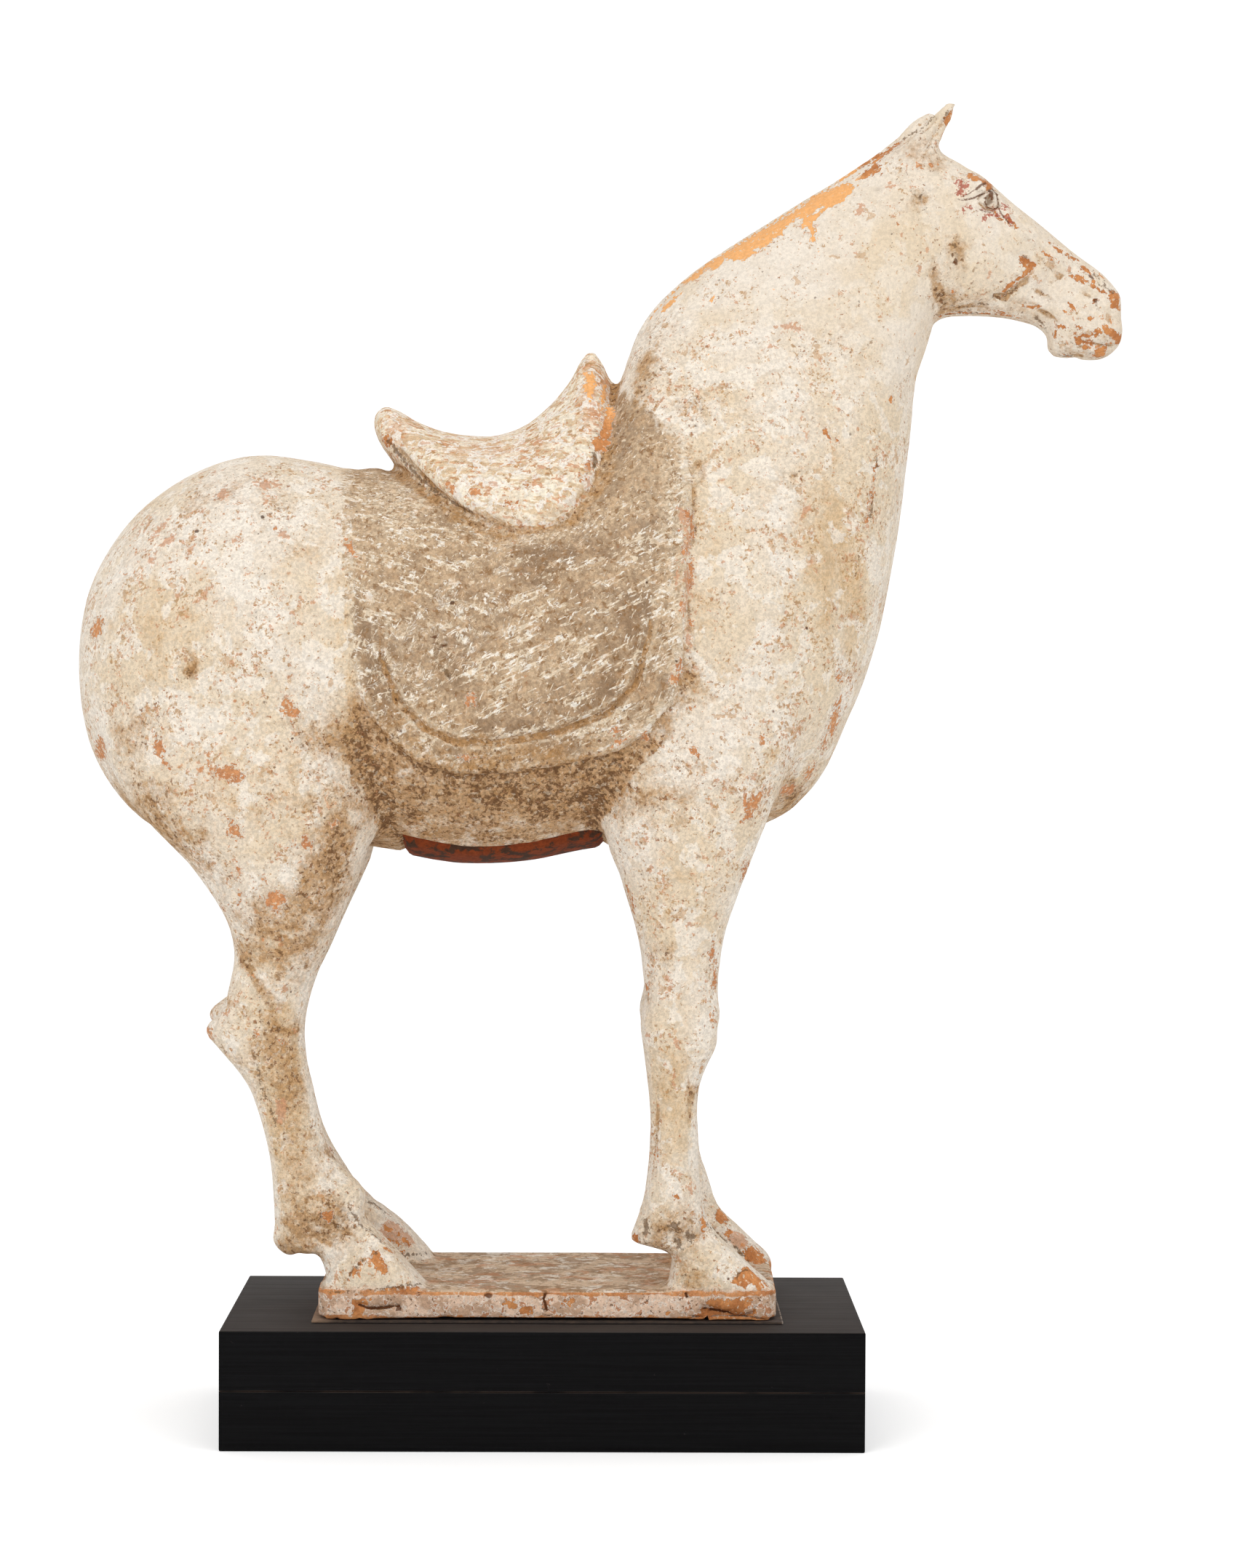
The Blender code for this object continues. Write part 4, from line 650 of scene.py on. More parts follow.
def slab_form():
    """The clay slab under the hooves, a box with rounded upright corners."""
    shape = block((SLAB_REAR, SLAB_NEAR, SLAB_FOOT), (SLAB_FRONT, SLAB_FAR, SLAB_TOP))
    upright = [e for e in shape.edges if abs(e.verts[0].co.z - e.verts[1].co.z) > 1.0]
    bmesh.ops.bevel(shape, geom=upright, offset=SLAB_CORNER, segments=6, affect="EDGES", profile=0.5)
    return shape


def horse_forms():
    """Every form that the figure is fused from, by name."""
    return {
        "trunk": loft(trunk_rows()),
        "near_fore": loft(leg_rows(FORE_LEG, -1, NO_LEAD)),
        "far_fore": loft(leg_rows(FORE_LEG, 1, FAR_FORE_LEAD)),
        "near_hind": loft(leg_rows(HIND_LEG, -1, NO_LEAD)),
        "far_hind": loft(leg_rows(HIND_LEG, 1, FAR_HIND_LEAD)),
        "near_ear": loft(ear_rows(NEAR_EAR, -1)),
        "far_ear": loft(ear_rows(FAR_EAR, 1)),
        "saddle": loft(saddle_rows()),
        "slab": slab_form(),
    }


def placed(name, data):
    """A mesh, light or camera as an object of the scene."""
    body = bpy.data.objects.new(name, data)
    bpy.context.scene.collection.objects.link(body)
    return body


def as_object(name, shape):
    """A drawn shape as an object of the scene."""
    mesh = bpy.data.meshes.new(name)
    shape.to_mesh(mesh)
    shape.free()
    return placed(name, mesh)


def fused(name, forms, voxel):
    """One skin over all the forms, as an object."""
    shape = bmesh.new()
    for form in forms.values():
        part = bpy.data.meshes.new("form")
        form.to_mesh(part)
        shape.from_mesh(part)
        bpy.data.meshes.remove(part)
    body = as_object(name, shape)
    remesh = body.modifiers.new("fuse", "REMESH")
    remesh.mode = "VOXEL"
    remesh.voxel_size = voxel
    apply_modifiers(body)
    return body


def apply_modifiers(body):
    """Replace a mesh by its evaluated one."""
    graph = bpy.context.evaluated_depsgraph_get()
    skin = bpy.data.meshes.new_from_object(body.evaluated_get(graph))
    body.modifiers.clear()
    old = body.data
    body.data = skin
    bpy.data.meshes.remove(old)


def coordinates(mesh):
    """The mesh's vertex places as an array."""
    flat = np.empty(len(mesh.vertices) * 3)
    mesh.vertices.foreach_get("co", flat)
    return flat.reshape(-1, 3)


def normals(mesh):
    """The mesh's vertex normals as an array."""
    flat = np.empty(len(mesh.vertices) * 3, np.float32)
    mesh.vertex_normals.foreach_get("vector", flat)
    return flat.reshape(-1, 3).astype(float)


def set_coordinates(mesh, places):
    """Write vertex places back."""
    mesh.vertices.foreach_set("co", places.ravel())
    mesh.update()


def edge_pairs(mesh):
    """The mesh's edges as an array of vertex pairs, and how many edges meet at each vertex."""
    flat = np.empty(len(mesh.edges) * 2, np.int64)
    mesh.edges.foreach_get("vertices", flat)
    return flat.reshape(-1, 2), np.maximum(np.bincount(flat, minlength=len(mesh.vertices)), 1)


def smoothstep(value, low, high):
    """0 below low, 1 above high and an easy curve between."""
    t = np.clip((value - low) / (high - low), 0.0, 1.0)
    return t * t * (3 - 2 * t)


def neighbour_mean(values, pairs, count):
    """Each vertex's mean over its neighbours."""
    total = np.zeros_like(values)
    starts, ends = pairs.T
    for column in range(values.shape[1]):
        total[:, column] = np.bincount(starts, values[ends, column], len(values))
        total[:, column] += np.bincount(ends, values[starts, column], len(values))
    return total / count[:, None]


def soften(mesh, weight, rounds):
    """Average each vertex with its neighbours, by a weight for each vertex."""
    places = coordinates(mesh)
    pairs, count = edge_pairs(mesh)
    for _ in range(rounds):
        places += (neighbour_mean(places, pairs, count) - places) * weight[:, None] * 0.6
    set_coordinates(mesh, places)


def tree_distance(tree, places, chosen, reach):
    """Distance of the chosen places to a form, up to a reach, and that reach for all the others."""
    away = np.full(len(places), reach)
    for i in np.flatnonzero(chosen):
        hit = tree.find_nearest(places[i], reach)
        away[i] = hit[3] if hit[0] is not None else reach
    return away


def join_weight(mesh, trees, reach):
    """How near each vertex lies to a second of the fused forms, from 0 to 1."""
    weight = np.zeros(len(mesh.vertices))
    for i, vertex in enumerate(mesh.vertices):
        near = []
        for tree in trees:
            hit = tree.find_nearest(vertex.co, reach + 1.0)
            near.append(hit[3] if hit[0] is not None else reach)
        near.sort()
        weight[i] = 1.0 - min(near[1] / reach, 1.0)
    return smoothstep(weight, 0.0, 0.8)


# ---- side view and photograph ----


def camera_axes():
    """The photograph's right, up and forward directions."""
    yaw, pitch, roll = (math.radians(a) for a in (CAMERA_YAW, CAMERA_PITCH, CAMERA_ROLL))
    flat = math.cos(pitch)
    forward = np.array([math.sin(yaw) * flat, math.cos(yaw) * flat, -math.sin(pitch)])
    level = np.array([math.cos(yaw), -math.sin(yaw), 0.0])
    upward = np.cross(level, forward)
    right = math.cos(roll) * level + math.sin(roll) * upward
    up = math.cos(roll) * upward - math.sin(roll) * level
    return right, up, forward


def in_photo(places):
    """Where places in millimetres fall in the photograph, in its pixels."""
    right, up, forward = camera_axes()
    away = places - np.array(CAMERA_PLACE) / MM
    depth = away @ forward
    across = PHOTO_WIDTH / 2 + FOCAL_PIXELS * (away @ right) / depth
    down = PHOTO_HEIGHT / 2 - FOCAL_PIXELS * (away @ up) / depth
    return np.stack([across, down], axis=1)


def mirrored_near(places):
    """The same places with the far side laid over the near one."""
    return places * [1, 0, 1] - np.abs(places) * [0, 1, 0]


def segment_distance(places, start, end):
    """Distance of flat places to one straight piece."""
    run = end - start
    t = np.clip((places - start) @ run / max(run @ run, 1e-9), 0.0, 1.0)
    return np.linalg.norm(places - start - t[:, None] * run, axis=1)


def points_of(row):
    """The points of a row of numbers, two for each point."""
    return np.array(row, float).reshape(-1, 2)


def line_distance(places, line):
    """Distance of flat places to an open line."""
    points = points_of(line)
    return np.min([segment_distance(places, a, b) for a, b in zip(points, points[1:])], axis=0)


def outline_distance(places, outline):
    """Distance of flat places to a closed outline, positive inside."""
    corners = points_of(outline)
    nearest = np.full(len(places), np.inf)
    inside = np.zeros(len(places), bool)
    for start, end in zip(corners, np.roll(corners, -1, axis=0)):
        nearest = np.minimum(nearest, segment_distance(places, start, end))
        crossing = (start[1] > places[:, 1]) != (end[1] > places[:, 1])
        rise = end[1] - start[1] if end[1] != start[1] else 1e-9
        at = start[0] + (places[:, 1] - start[1]) * (end[0] - start[0]) / rise
        inside ^= crossing & (places[:, 0] < at)
    return np.where(inside, nearest, -nearest)


def turned(view, place, turn):
    """Flat places along and across a direction turned clockwise in the photograph."""
    angle = math.radians(turn)
    away = view - np.array(place, float)
    along = away[:, 0] * math.cos(angle) + away[:, 1] * math.sin(angle)
    across = -away[:, 0] * math.sin(angle) + away[:, 1] * math.cos(angle)
    return along, across


def swell(view, place, long, short, turn):
    """A soft oval that fades from 1 to 0."""
    along, across = turned(view, place, turn)
    return np.exp(-(along / long) ** 2 - (across / short) ** 2)


def patch_field(view, outlines=(), spots=(), strokes=()):
    """Depth inside the nearest outline, spot or stroke, in millimetres, negative outside them all."""
    field = np.full(len(view), -FIELD_REACH)
    margin = FIELD_REACH * PIXELS_PER_MM

    def near(low, high):
        return np.flatnonzero(((view > low - margin) & (view < high + margin)).all(axis=1))

    for outline in outlines:
        corners = points_of(outline)
        chosen = near(corners.min(axis=0), corners.max(axis=0))
        if len(chosen):
            inside = outline_distance(view[chosen], corners) / PIXELS_PER_MM
            field[chosen] = np.maximum(field[chosen], inside)
    for x, y, long, short, turn in spots:
        centre = np.array([x, y], float)
        chosen = near(centre - max(long, short), centre + max(long, short))
        if len(chosen):
            away = np.linalg.norm(view[chosen] - centre, axis=1)
            if away.min() < PIXELS_PER_MM * 2:
                centre = view[chosen[np.argmin(away)]]
            along, across = turned(view[chosen], centre, turn)
            inside = (1.0 - np.hypot(along / long, across / short)) * min(long, short) / PIXELS_PER_MM
            field[chosen] = np.maximum(field[chosen], inside)
    for points, half in strokes:
        line = points_of(points)
        chosen = near(line.min(axis=0), line.max(axis=0))
        if len(chosen):
            inside = (half - line_distance(view[chosen], line)) / PIXELS_PER_MM
            field[chosen] = np.maximum(field[chosen], inside)
    return field


def tone_field(view, areas):
    """The strongest of several soft areas at each place."""
    field = np.zeros(len(view))
    for x, y, long, short, turn, strength in areas:
        field = np.maximum(field, strength * swell(view, (x, y), long, short, turn))
    return field


# ---- modelling ----


def unevenness(places, size, seed):
    """Smooth random heights from -1 to 1 that change over a distance."""
    shift = Vector((seed * 17.3, seed * 5.1, seed * 9.7))
    return np.array([noise.noise(Vector(p) / size + shift) for p in places])


def cloth_relief(side_view, facing, saddle_tree, places, lip):
    """The saddle cloth's thickness and the line cut along its border, clear of the saddle."""
    x, z = side_view.T
    inside = outline_distance(side_view, CLOTH_EDGE)
    low = 1.0 - 0.85 * smoothstep(z - 0.8 * x, 300.0, 330.0)
    low *= 1.0 - smoothstep(z, 322.0, 350.0)
    clear = smoothstep(tree_distance(saddle_tree, places, inside > 0, 1.5), 0.3, 1.5)
    rise = lip * smoothstep(inside, -0.6, 0.6) * (0.1 + 0.9 * low)
    roll = 0.6 * low * np.exp(-((inside - 2.0) / 1.5) ** 2)
    from_line = line_distance(side_view, CLOTH_LINE)
    line = np.exp(-(from_line / 1.5) ** 2 * 2)
    outer = np.exp(-(from_line / 3.2 - 1.0) ** 2 * 5)
    sunk = 1.0 - 0.8 * smoothstep(z, 262.0, 300.0)
    return clear * (rise + roll - sunk * (1.7 * line - 0.4 * outer) * facing * (0.5 + 0.5 * low))


def in_strip(places):
    """Depth inside the edges of the strip that closes the belly."""
    x, y, _ = places.T
    along = np.minimum(x - STRIP_REAR, STRIP_FRONT - x)
    return np.minimum(along, STRIP_HALF_WIDTH - np.abs(y))


def belly_relief(places, outward):
    """The bare clay strip that closes the belly, with a groove along its edges."""
    inside = in_strip(places)
    below = smoothstep(-outward[:, 2], 0.5, 0.75) * (places[:, 2] < BELLY_TOP)
    return below * (0.7 * smoothstep(inside, -0.8, 1.0) - 1.6 * np.exp(-(inside / 1.3) ** 2))


def crest_line(before, beyond):
    """The trunk's top points along the mane's slot, and a little before and beyond it."""
    tops = np.array([row[:2] for row in TRUNK], float)
    return tops[(tops[:, 0] >= MANE_FROM[0] - before) & (tops[:, 0] <= MANE_TO[0] + beyond)]


def mane_relief(places, outward):
    """The slot of the lost mane along the crest, its near lip lower than the far one."""
    x, y, _ = places.T
    from_crest = line_distance(places[:, [0, 2]], crest_line(1.0, 4.0))
    across = 1.0 - smoothstep(np.abs(y), MANE_HALF_WIDTH * 0.6, MANE_HALF_WIDTH * 1.1)
    near = (1.0 - smoothstep(from_crest, 2.0, 5.0)) * smoothstep(outward[:, 2], 0.2, 0.5)
    ends = smoothstep(x, MANE_FROM[0] - 4.0, MANE_FROM[0] + 4.0)
    ends *= 1.0 - smoothstep(x, MANE_TO[0] - 2.0, MANE_TO[0] + 3.0)
    lip = smoothstep(-y, MANE_HALF_WIDTH * 0.8, MANE_HALF_WIDTH * 1.4)
    lip *= 1.0 - smoothstep(-y, 5.0, 9.0)
    far_lip = smoothstep(y, MANE_HALF_WIDTH * 0.8, MANE_HALF_WIDTH * 1.4)
    far_lip *= 1.0 - smoothstep(y, 5.0, 8.0)
    return (FAR_LIP_RISE * far_lip - MANE_DEPTH * across - NEAR_LIP_DROP * lip) * near * ends


def cleft_relief(places):
    """The upright cleft between the buttocks."""
    x, y, z = places.T
    across = np.exp(-(y / 6.0) ** 2)
    behind = 1.0 - smoothstep(x, -150.0, -128.0)
    level = smoothstep(z, 200.0, 235.0) * (1.0 - smoothstep(z, 285.0, 312.0))
    return -3.2 * across * behind * level


def seat_underside(mesh, voxel):
    """Make the slab's underside flat at both ends and gently arched between."""
    places = coordinates(mesh)
    under = places[:, 2] < SLAB_FOOT + voxel * 0.5
    share = np.abs(places[:, 0] - (SLAB_FRONT + SLAB_REAR) / 2) / (SLAB_FRONT - SLAB_REAR) * 2
    arch = SLAB_ARCH * (1.0 - smoothstep(share, 0.35, 0.8))
    places[under, 2] = SLAB_FOOT + arch[under]
    set_coordinates(mesh, places)


def carve_broad(mesh, saddle_tree, sizes):
    """Press the broad modelling into the fused skin."""
    places = coordinates(mesh)
    outward = normals(mesh)
    side_view = places[:, [0, 2]]
    facing = smoothstep(np.abs(outward[:, 1]), 0.3, 0.7)
    shift = np.zeros(len(places))
    for x, z, long, short, turn, height in SIDE_SWELLS:
        shift += facing * height * swell(side_view, (x, z), long, short, -turn)
    shift += cloth_relief(side_view, facing, saddle_tree, places, sizes.cloth_thickness / MM)
    shift += belly_relief(places, outward)
    shift += mane_relief(places, outward)
    shift += cleft_relief(places)
    uneven = sizes.unevenness / MM * (1.0 - 0.6 * smoothstep(places[:, 2], 370.0, 400.0))
    slab_side = (places[:, 2] < SLAB_TOP + 1.0) & (np.abs(outward[:, 2]) < 0.6)
    flat = 1.0 - 0.7 * (places[:, 2] < SLAB_TOP + 1.0) + 1.5 * slab_side
    shift += uneven * flat * (unevenness(places, 26.0, 1) + 0.2 * unevenness(places, 9.0, 2))
    set_coordinates(mesh, places + outward * shift[:, None])


def pastern_push(places, outward):
    """How far forward the near hind pastern stands in front of the far one, in millimetres."""
    front = smoothstep(outward[:, 0], -0.1, 0.4) * (places[:, 1] < 0.0)
    return front * PASTERN_PUSH * swell(in_photo(places), *NEAR_PASTERN)


def nudge(view):
    """How far each place is drawn along and up to meet the photographed outline."""
    shift = np.zeros((len(view), 3))
    for x, y, reach, along, up in NUDGES:
        shift += swell(view, (x, y), reach, reach, 0)[:, None] * [along, 0.0, up]
    return shift


def carve_fine(mesh):
    """Press the fine modelling into the skin, the same on both sides."""
    places = coordinates(mesh)
    outward = normals(mesh)
    view = in_photo(mirrored_near(places))
    facing = smoothstep(np.abs(outward[:, 1]), 0.15, 0.5)
    outer = facing * ((places[:, 1] * outward[:, 1] > 0) | (places[:, 2] > 200.0))
    shift = np.zeros(len(places))
    for x, y, long, short, turn, height in FINE_SWELLS:
        shift += outer * height * swell(view, (x, y), long, short, turn)
    for line, width, depth in FINE_LINES:
        shift -= outer * depth * np.exp(-(line_distance(view, line) / width) ** 2 * 2)
    for line, width, height in FINE_RIDGES:
        shift += outer * height * np.exp(-(line_distance(view, line) / width) ** 2 * 2)
    places += nudge(view)
    places[:, 0] += pastern_push(places, outward)
    near_face = smoothstep(-outward[:, 1], 0.6, 0.9) * (places[:, 2] < SLAB_TOP)
    broken = outline_distance(in_photo(places), SLAB_LOSS[1]) / PIXELS_PER_MM
    shift -= near_face * 2.2 * smoothstep(broken, -0.1, 0.9)
    gap = patch_field(in_photo(places), strokes=CRACKS)
    shift -= near_face * 0.9 * smoothstep(gap, -0.5, 0.2)
    set_coordinates(mesh, places + outward * shift[:, None])


def thin_out(body, triangles):
    """Reduce a skin to about a number of triangles, keeping its shape where it bends."""
    body.data.calc_loop_triangles()
    decimate = body.modifiers.new("thin_out", "DECIMATE")
    decimate.decimate_type = "COLLAPSE"
    decimate.use_collapse_triangulate = True
    decimate.ratio = min(1.0, triangles / len(body.data.loop_triangles))
    apply_modifiers(body)


def refine(mesh, chosen, rounds_of_softening=0):
    """Split every edge between chosen vertices once, and keep all faces triangles."""
    shape = bmesh.new()
    shape.from_mesh(mesh)
    shape.verts.ensure_lookup_table()
    edges = [e for e in shape.edges if chosen[e.verts[0].index] and chosen[e.verts[1].index]]
    if edges:
        bmesh.ops.subdivide_edges(shape, edges=edges, cuts=1, use_grid_fill=True)
        bmesh.ops.triangulate(shape, faces=[f for f in shape.faces if len(f.verts) > 3])
    before = len(mesh.vertices)
    shape.to_mesh(mesh)
    shape.free()
    if rounds_of_softening:
        weight = np.zeros(len(mesh.vertices))
        weight[:before] = chosen
        weight[before:] = 1.0
        soften(mesh, weight, rounds_of_softening)


def level_tips(mesh, node):
    """Bring the ears' tips level with the CAD node's top, so that fitting leaves the rest as it is."""
    places = coordinates(mesh)
    share = (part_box(node)[1][2] / MM - CROWN_TOP) / (places[:, 2].max() - CROWN_TOP)
    above = places[:, 2] > CROWN_TOP
    places[above, 2] = CROWN_TOP + (places[above, 2] - CROWN_TOP) * share
    set_coordinates(mesh, places)


def fit_box(body, node):
    """Move and scale the skin so that it fills the CAD node's box and nothing stands outside it."""
    places = coordinates(body.data) * MM
    low, high = (np.array(corner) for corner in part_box(node))
    mine_low, mine_high = places.min(axis=0), places.max(axis=0)
    places = low + (places - mine_low) * (high - low) / (mine_high - mine_low)
    set_coordinates(body.data, places)


# ---- paint fields ----


def all_losses():
    """Every outlined loss of slip on the near side."""
    return MANE_LOSS + HEAD_LOSS + BODY_LOSS + LEG_LOSS + SLAB_LOSS


def both_sides(places, outward, maker):
    """A field seen from the near side, and a shifted mirror image of it on the far side."""
    x, _, z = places.T
    toward = outward @ camera_axes()[2]
    near = maker(in_photo(places))
    far = maker(in_photo(mirrored_near(places)) + FAR_SHIFT)
    crest = (np.abs(x - 70.0) < 44.0) & (z > 375.0)
    edge_on = np.where(crest, 0.0, 1.0 - smoothstep(np.abs(toward), 0.05, 0.25))
    return np.where(toward < 0.02, near, far) - 2.5 * edge_on


def paint_fields(mesh, saddle_tree):
    """The painter's fields at each vertex, in millimetres or from 0 to 1, by name."""
    places = coordinates(mesh) / MM
    outward = normals(mesh)
    x, y, z = places.T
    ahead, aside, up = outward.T
    side_view = places[:, [0, 2]]
    mirrored = in_photo(mirrored_near(places))
    sideways = 1.0 - 0.8 * smoothstep(np.abs(ahead), 0.6, 0.9)

    def tone(areas):
        return tone_field(mirrored, areas) * sideways

    def losses(view):
        return patch_field(view, all_losses(), SPOTS, BARE_STROKES)

    bare = both_sides(places, outward, losses)
    mane = patch_field(mirrored, MANE_LOSS)
    upper = z > 330.0
    bare = np.where(upper & (aside > 0), np.maximum(bare, mane + 0.5), bare)
    slot = MANE_HALF_WIDTH - np.abs(y)
    on_crest = 4.5 - line_distance(side_view, crest_line(0.0, 2.0))
    slot = np.where(up > 0.0, np.minimum(slot, on_crest), -FIELD_REACH)
    bare = np.maximum(bare, slot)
    belly = (up < -0.3) & (z < BELLY_TOP) & (z > BELLY_FOOT)
    strip = np.where(belly, in_strip(places), -FIELD_REACH)
    cloth = np.where(z < BELLY_TOP, -FIELD_REACH, outline_distance(side_view, CLOTH_EDGE))
    cloth = cloth - 9.0 * swell(mirrored, (900, 540), 60, 26, 35)
    by_saddle = (z > 300.0) & (np.abs(x - SADDLE_MIDDLE) < 50.0)
    on_slab = smoothstep(SLAB_TOP + 1.2 - z, 0.0, 1.4)
    rim = np.abs(z - (SLAB_TOP - 0.9)) + 3.0 * smoothstep(up, 0.6, 0.9)
    foot = z - SLAB_FOOT
    return {
        "bare": np.clip(bare, -FIELD_REACH, FIELD_REACH),
        "rubbed": both_sides(places, outward, lambda view: patch_field(view, RUBBED, TAN_CHIPS)),
        "red": patch_field(mirrored, RED_PAINT, RED_SPOTS),
        # the ink field holds painted shade in pits too, and the stain field painted shadow in creases
        "ink": np.where(z > HEAD_FOOT, patch_field(mirrored, (), INK_SPOTS_AND_PIT_SHADE, INK_STROKES),
                        both_sides(places, outward, lambda view: patch_field(view, (), INK_SPOTS_AND_PIT_SHADE))),
        "stain": both_sides(places, outward, lambda view: patch_field(view, STAINS, (), STAIN_AND_SHADOW_STROKES)),
        "crack": np.where(aside < -0.3, patch_field(in_photo(places), strokes=CRACKS),
                          -FIELD_REACH),
        "grime": tone(GRIME),
        "crumbly": tone(CRUMBLY),
        # grey-brown marks, and painted shade in the fetlock hollows and on the saddle's rear face
        "shade": tone(MARKS_AND_PAINTED_SHADE),
        "clean": smoothstep(z + 0.35 * x, 380.0, 440.0),
        "faded": smoothstep(z, 90.0, 120.0) * (1.0 - smoothstep(z, 335.0, 350.0)),
        "ochre": tone(OCHRE),
        "worn_white": tone(WORN_WHITE),
        "cloth_dark": tone(CLOTH_DARK),
        "cloth": np.clip(cloth, -12.0, 12.0),
        "cloth_line": np.clip(line_distance(side_view, CLOTH_LINE), 0.0, 12.0),
        "saddle": tree_distance(saddle_tree, places - nudge(mirrored), by_saddle, FIELD_REACH),
        "strip": np.clip(strip, -FIELD_REACH, FIELD_REACH),
        "slab": on_slab,
        "slab_rim": 1.4 - rim,
        "slab_foot": foot,
        "hollow": hollow_field(mesh) - 0.8 * smoothstep(ahead, 0.5, 0.8) * (z > 330.0)
        - 0.6 * swell(mirrored, (960, 780), 26, 150, 0),
    }


def hollow_field(mesh):
    """How deep each vertex lies below the mean of those round it, in millimetres, near and wide."""
    places = coordinates(mesh) / MM
    outward = normals(mesh)
    pairs, count = edge_pairs(mesh)
    wide = places
    for _ in range(12):
        wide = neighbour_mean(wide, pairs, count)
    return np.clip(((wide - places) * outward).sum(axis=1), -1.5, 1.5)


def store_fields(mesh, fields):
    """Keep the fields on the mesh, for its material to read."""
    for name, values in fields.items():
        attribute = mesh.attributes.new(name, "FLOAT", "POINT")
        attribute.data.foreach_set("value", values.astype(np.float32))


def detail_vertices(mesh, reach):
    """Vertices of the near side close to the edge of a painted patch or to a painted line."""
    view = in_photo(coordinates(mesh))
    edge = np.abs(patch_field(view, all_losses() + STAINS, SPOTS)) < reach
    line = patch_field(view, (), INK_SPOTS_AND_PIT_SHADE, STAIN_AND_SHADOW_STROKES + CRACKS + BARE_STROKES) > -reach * 0.6
    return (edge | line) & (normals(mesh)[:, 1] < 0.1)


def crack_vertices(mesh, reach):
    """Vertices of the slab's near face close to a crack."""
    view = in_photo(coordinates(mesh))
    return (patch_field(view, strokes=CRACKS) > -reach) & (normals(mesh)[:, 1] < -0.3)


def eye_vertices(mesh, radius):
    """Vertices round the eyes, on both sides."""
    places = coordinates(mesh)
    away = np.linalg.norm(in_photo(mirrored_near(places)) - EYE_PLACE, axis=1)
    return (away < radius) & (places[:, 2] > HEAD_FOOT)


def muzzle_vertices(mesh, radius):
    """Vertices of the muzzle, the slab's near face, the near hooves and the ears' tips."""
    places = coordinates(mesh)
    _, y, z = places.T
    view = in_photo(mirrored_near(places))
    muzzle = np.linalg.norm(view - MUZZLE_PLACE, axis=1) < radius
    cheek = (np.abs(view - CHEEK_PLACE) < [45, 45]).all(axis=1) & (z > HEAD_FOOT)
    slab_face = (z < SLAB_TOP - 0.3) & (y < SLAB_NEAR + 4.0)
    feet = (z < 90.0) & (y < -6.0) & (normals(mesh)[:, 1] < 0.0)
    ears = (np.abs(view - EAR_PLACE) < [36, 40]).all(axis=1)
    return (muzzle & (z > 370.0)) | cheek | slab_face | feet | ears


def build_horse(sizes):
    """The horse with its saddle, cloth and slab, as one piece."""
    voxel = sizes.skin_size / MM
    forms = horse_forms()
    trees = {name: BVHTree.FromBMesh(form) for name, form in forms.items()}
    body = fused("painted_horse", forms, voxel)
    for names, reach, share, rounds in (
            ("near_fore far_fore near_hind far_hind", 12.0, 1.0, 22),
            ("near_ear far_ear", 6.0, 1.0, 9),
            ("near_ear far_ear saddle slab", 3.0, 0.5, 4)):
        joined = [trees[name] for name in ["trunk"] + names.split()]
        soften(body.data, share * join_weight(body.data, joined, reach), rounds)
    soften(body.data, np.full(len(body.data.vertices), 0.5), 2)
    carve_broad(body.data, trees["saddle"], sizes)
    seat_underside(body.data, voxel)
    thin_out(body, sizes.triangles)
    refine(body.data, muzzle_vertices(body.data, 62), 1)
    for radius in (52, 42, 26):
        refine(body.data, eye_vertices(body.data, radius), 1)
    for reach in (1.2, 0.7):
        refine(body.data, crack_vertices(body.data, reach))
    carve_fine(body.data)
    for reach in (1.1, 0.4):
        refine(body.data, detail_vertices(body.data, reach))
    level_tips(body.data, "earthenware_horse")
    fit_box(body, "earthenware_horse")
    store_fields(body.data, paint_fields(body.data, trees["saddle"]))
    for form in forms.values():
        form.free()
    body.data.shade_smooth()
    return body


# ---- shader tools ----


def feed(tree, socket, value):
    """Give a socket a value or a link."""
    if isinstance(value, bpy.types.NodeSocket):
        tree.links.new(value, socket)
    elif value is not None:
        socket.default_value = value


def calc(tree, operation, *values):
    """A sum of up to three values."""
    node = tree.nodes.new("ShaderNodeMath")
    node.operation = operation
    for socket, value in zip(node.inputs, values):
        feed(tree, socket, value)
    return node.outputs[0]


def plus(tree, value, other):
    """Two values added."""
    return calc(tree, "ADD", value, other)


def minus(tree, value, other):
    """One value less another."""
    return calc(tree, "SUBTRACT", value, other)


def apart(tree, value, other):
    """How far two values are apart."""
    return calc(tree, "ABSOLUTE", minus(tree, value, other))


def more(tree, value, by, base):
    """A value times a number, plus another number."""
    return calc(tree, "MULTIPLY_ADD", value, by, base)


def times(tree, *values):
    """Values multiplied together."""
    return reduce(lambda whole, value: calc(tree, "MULTIPLY", whole, value), values)


def any_of(tree, *masks):
    """The strongest of several masks."""
    return reduce(lambda whole, mask: calc(tree, "MAXIMUM", whole, mask), masks)


def step(tree, value, low, high, bottom=0.0, top=1.0):
    """A smooth step of a value from bottom to top."""
    node = tree.nodes.new("ShaderNodeMapRange")
    node.interpolation_type = "SMOOTHSTEP"
    for socket, given in zip(node.inputs, (value, low, high, bottom, top)):
        feed(tree, socket, given)
    return node.outputs[0]


def blend(tree, share, below, above):
    """One colour laid over another."""
    node = tree.nodes.new("ShaderNodeMix")
    node.data_type = "RGBA"
    feed(tree, node.inputs[0], share)
    for socket, colour in ((node.inputs[6], below), (node.inputs[7], above)):
        feed(tree, socket, colour if isinstance(colour, bpy.types.NodeSocket) else (*colour, 1.0))
    return node.outputs[2]


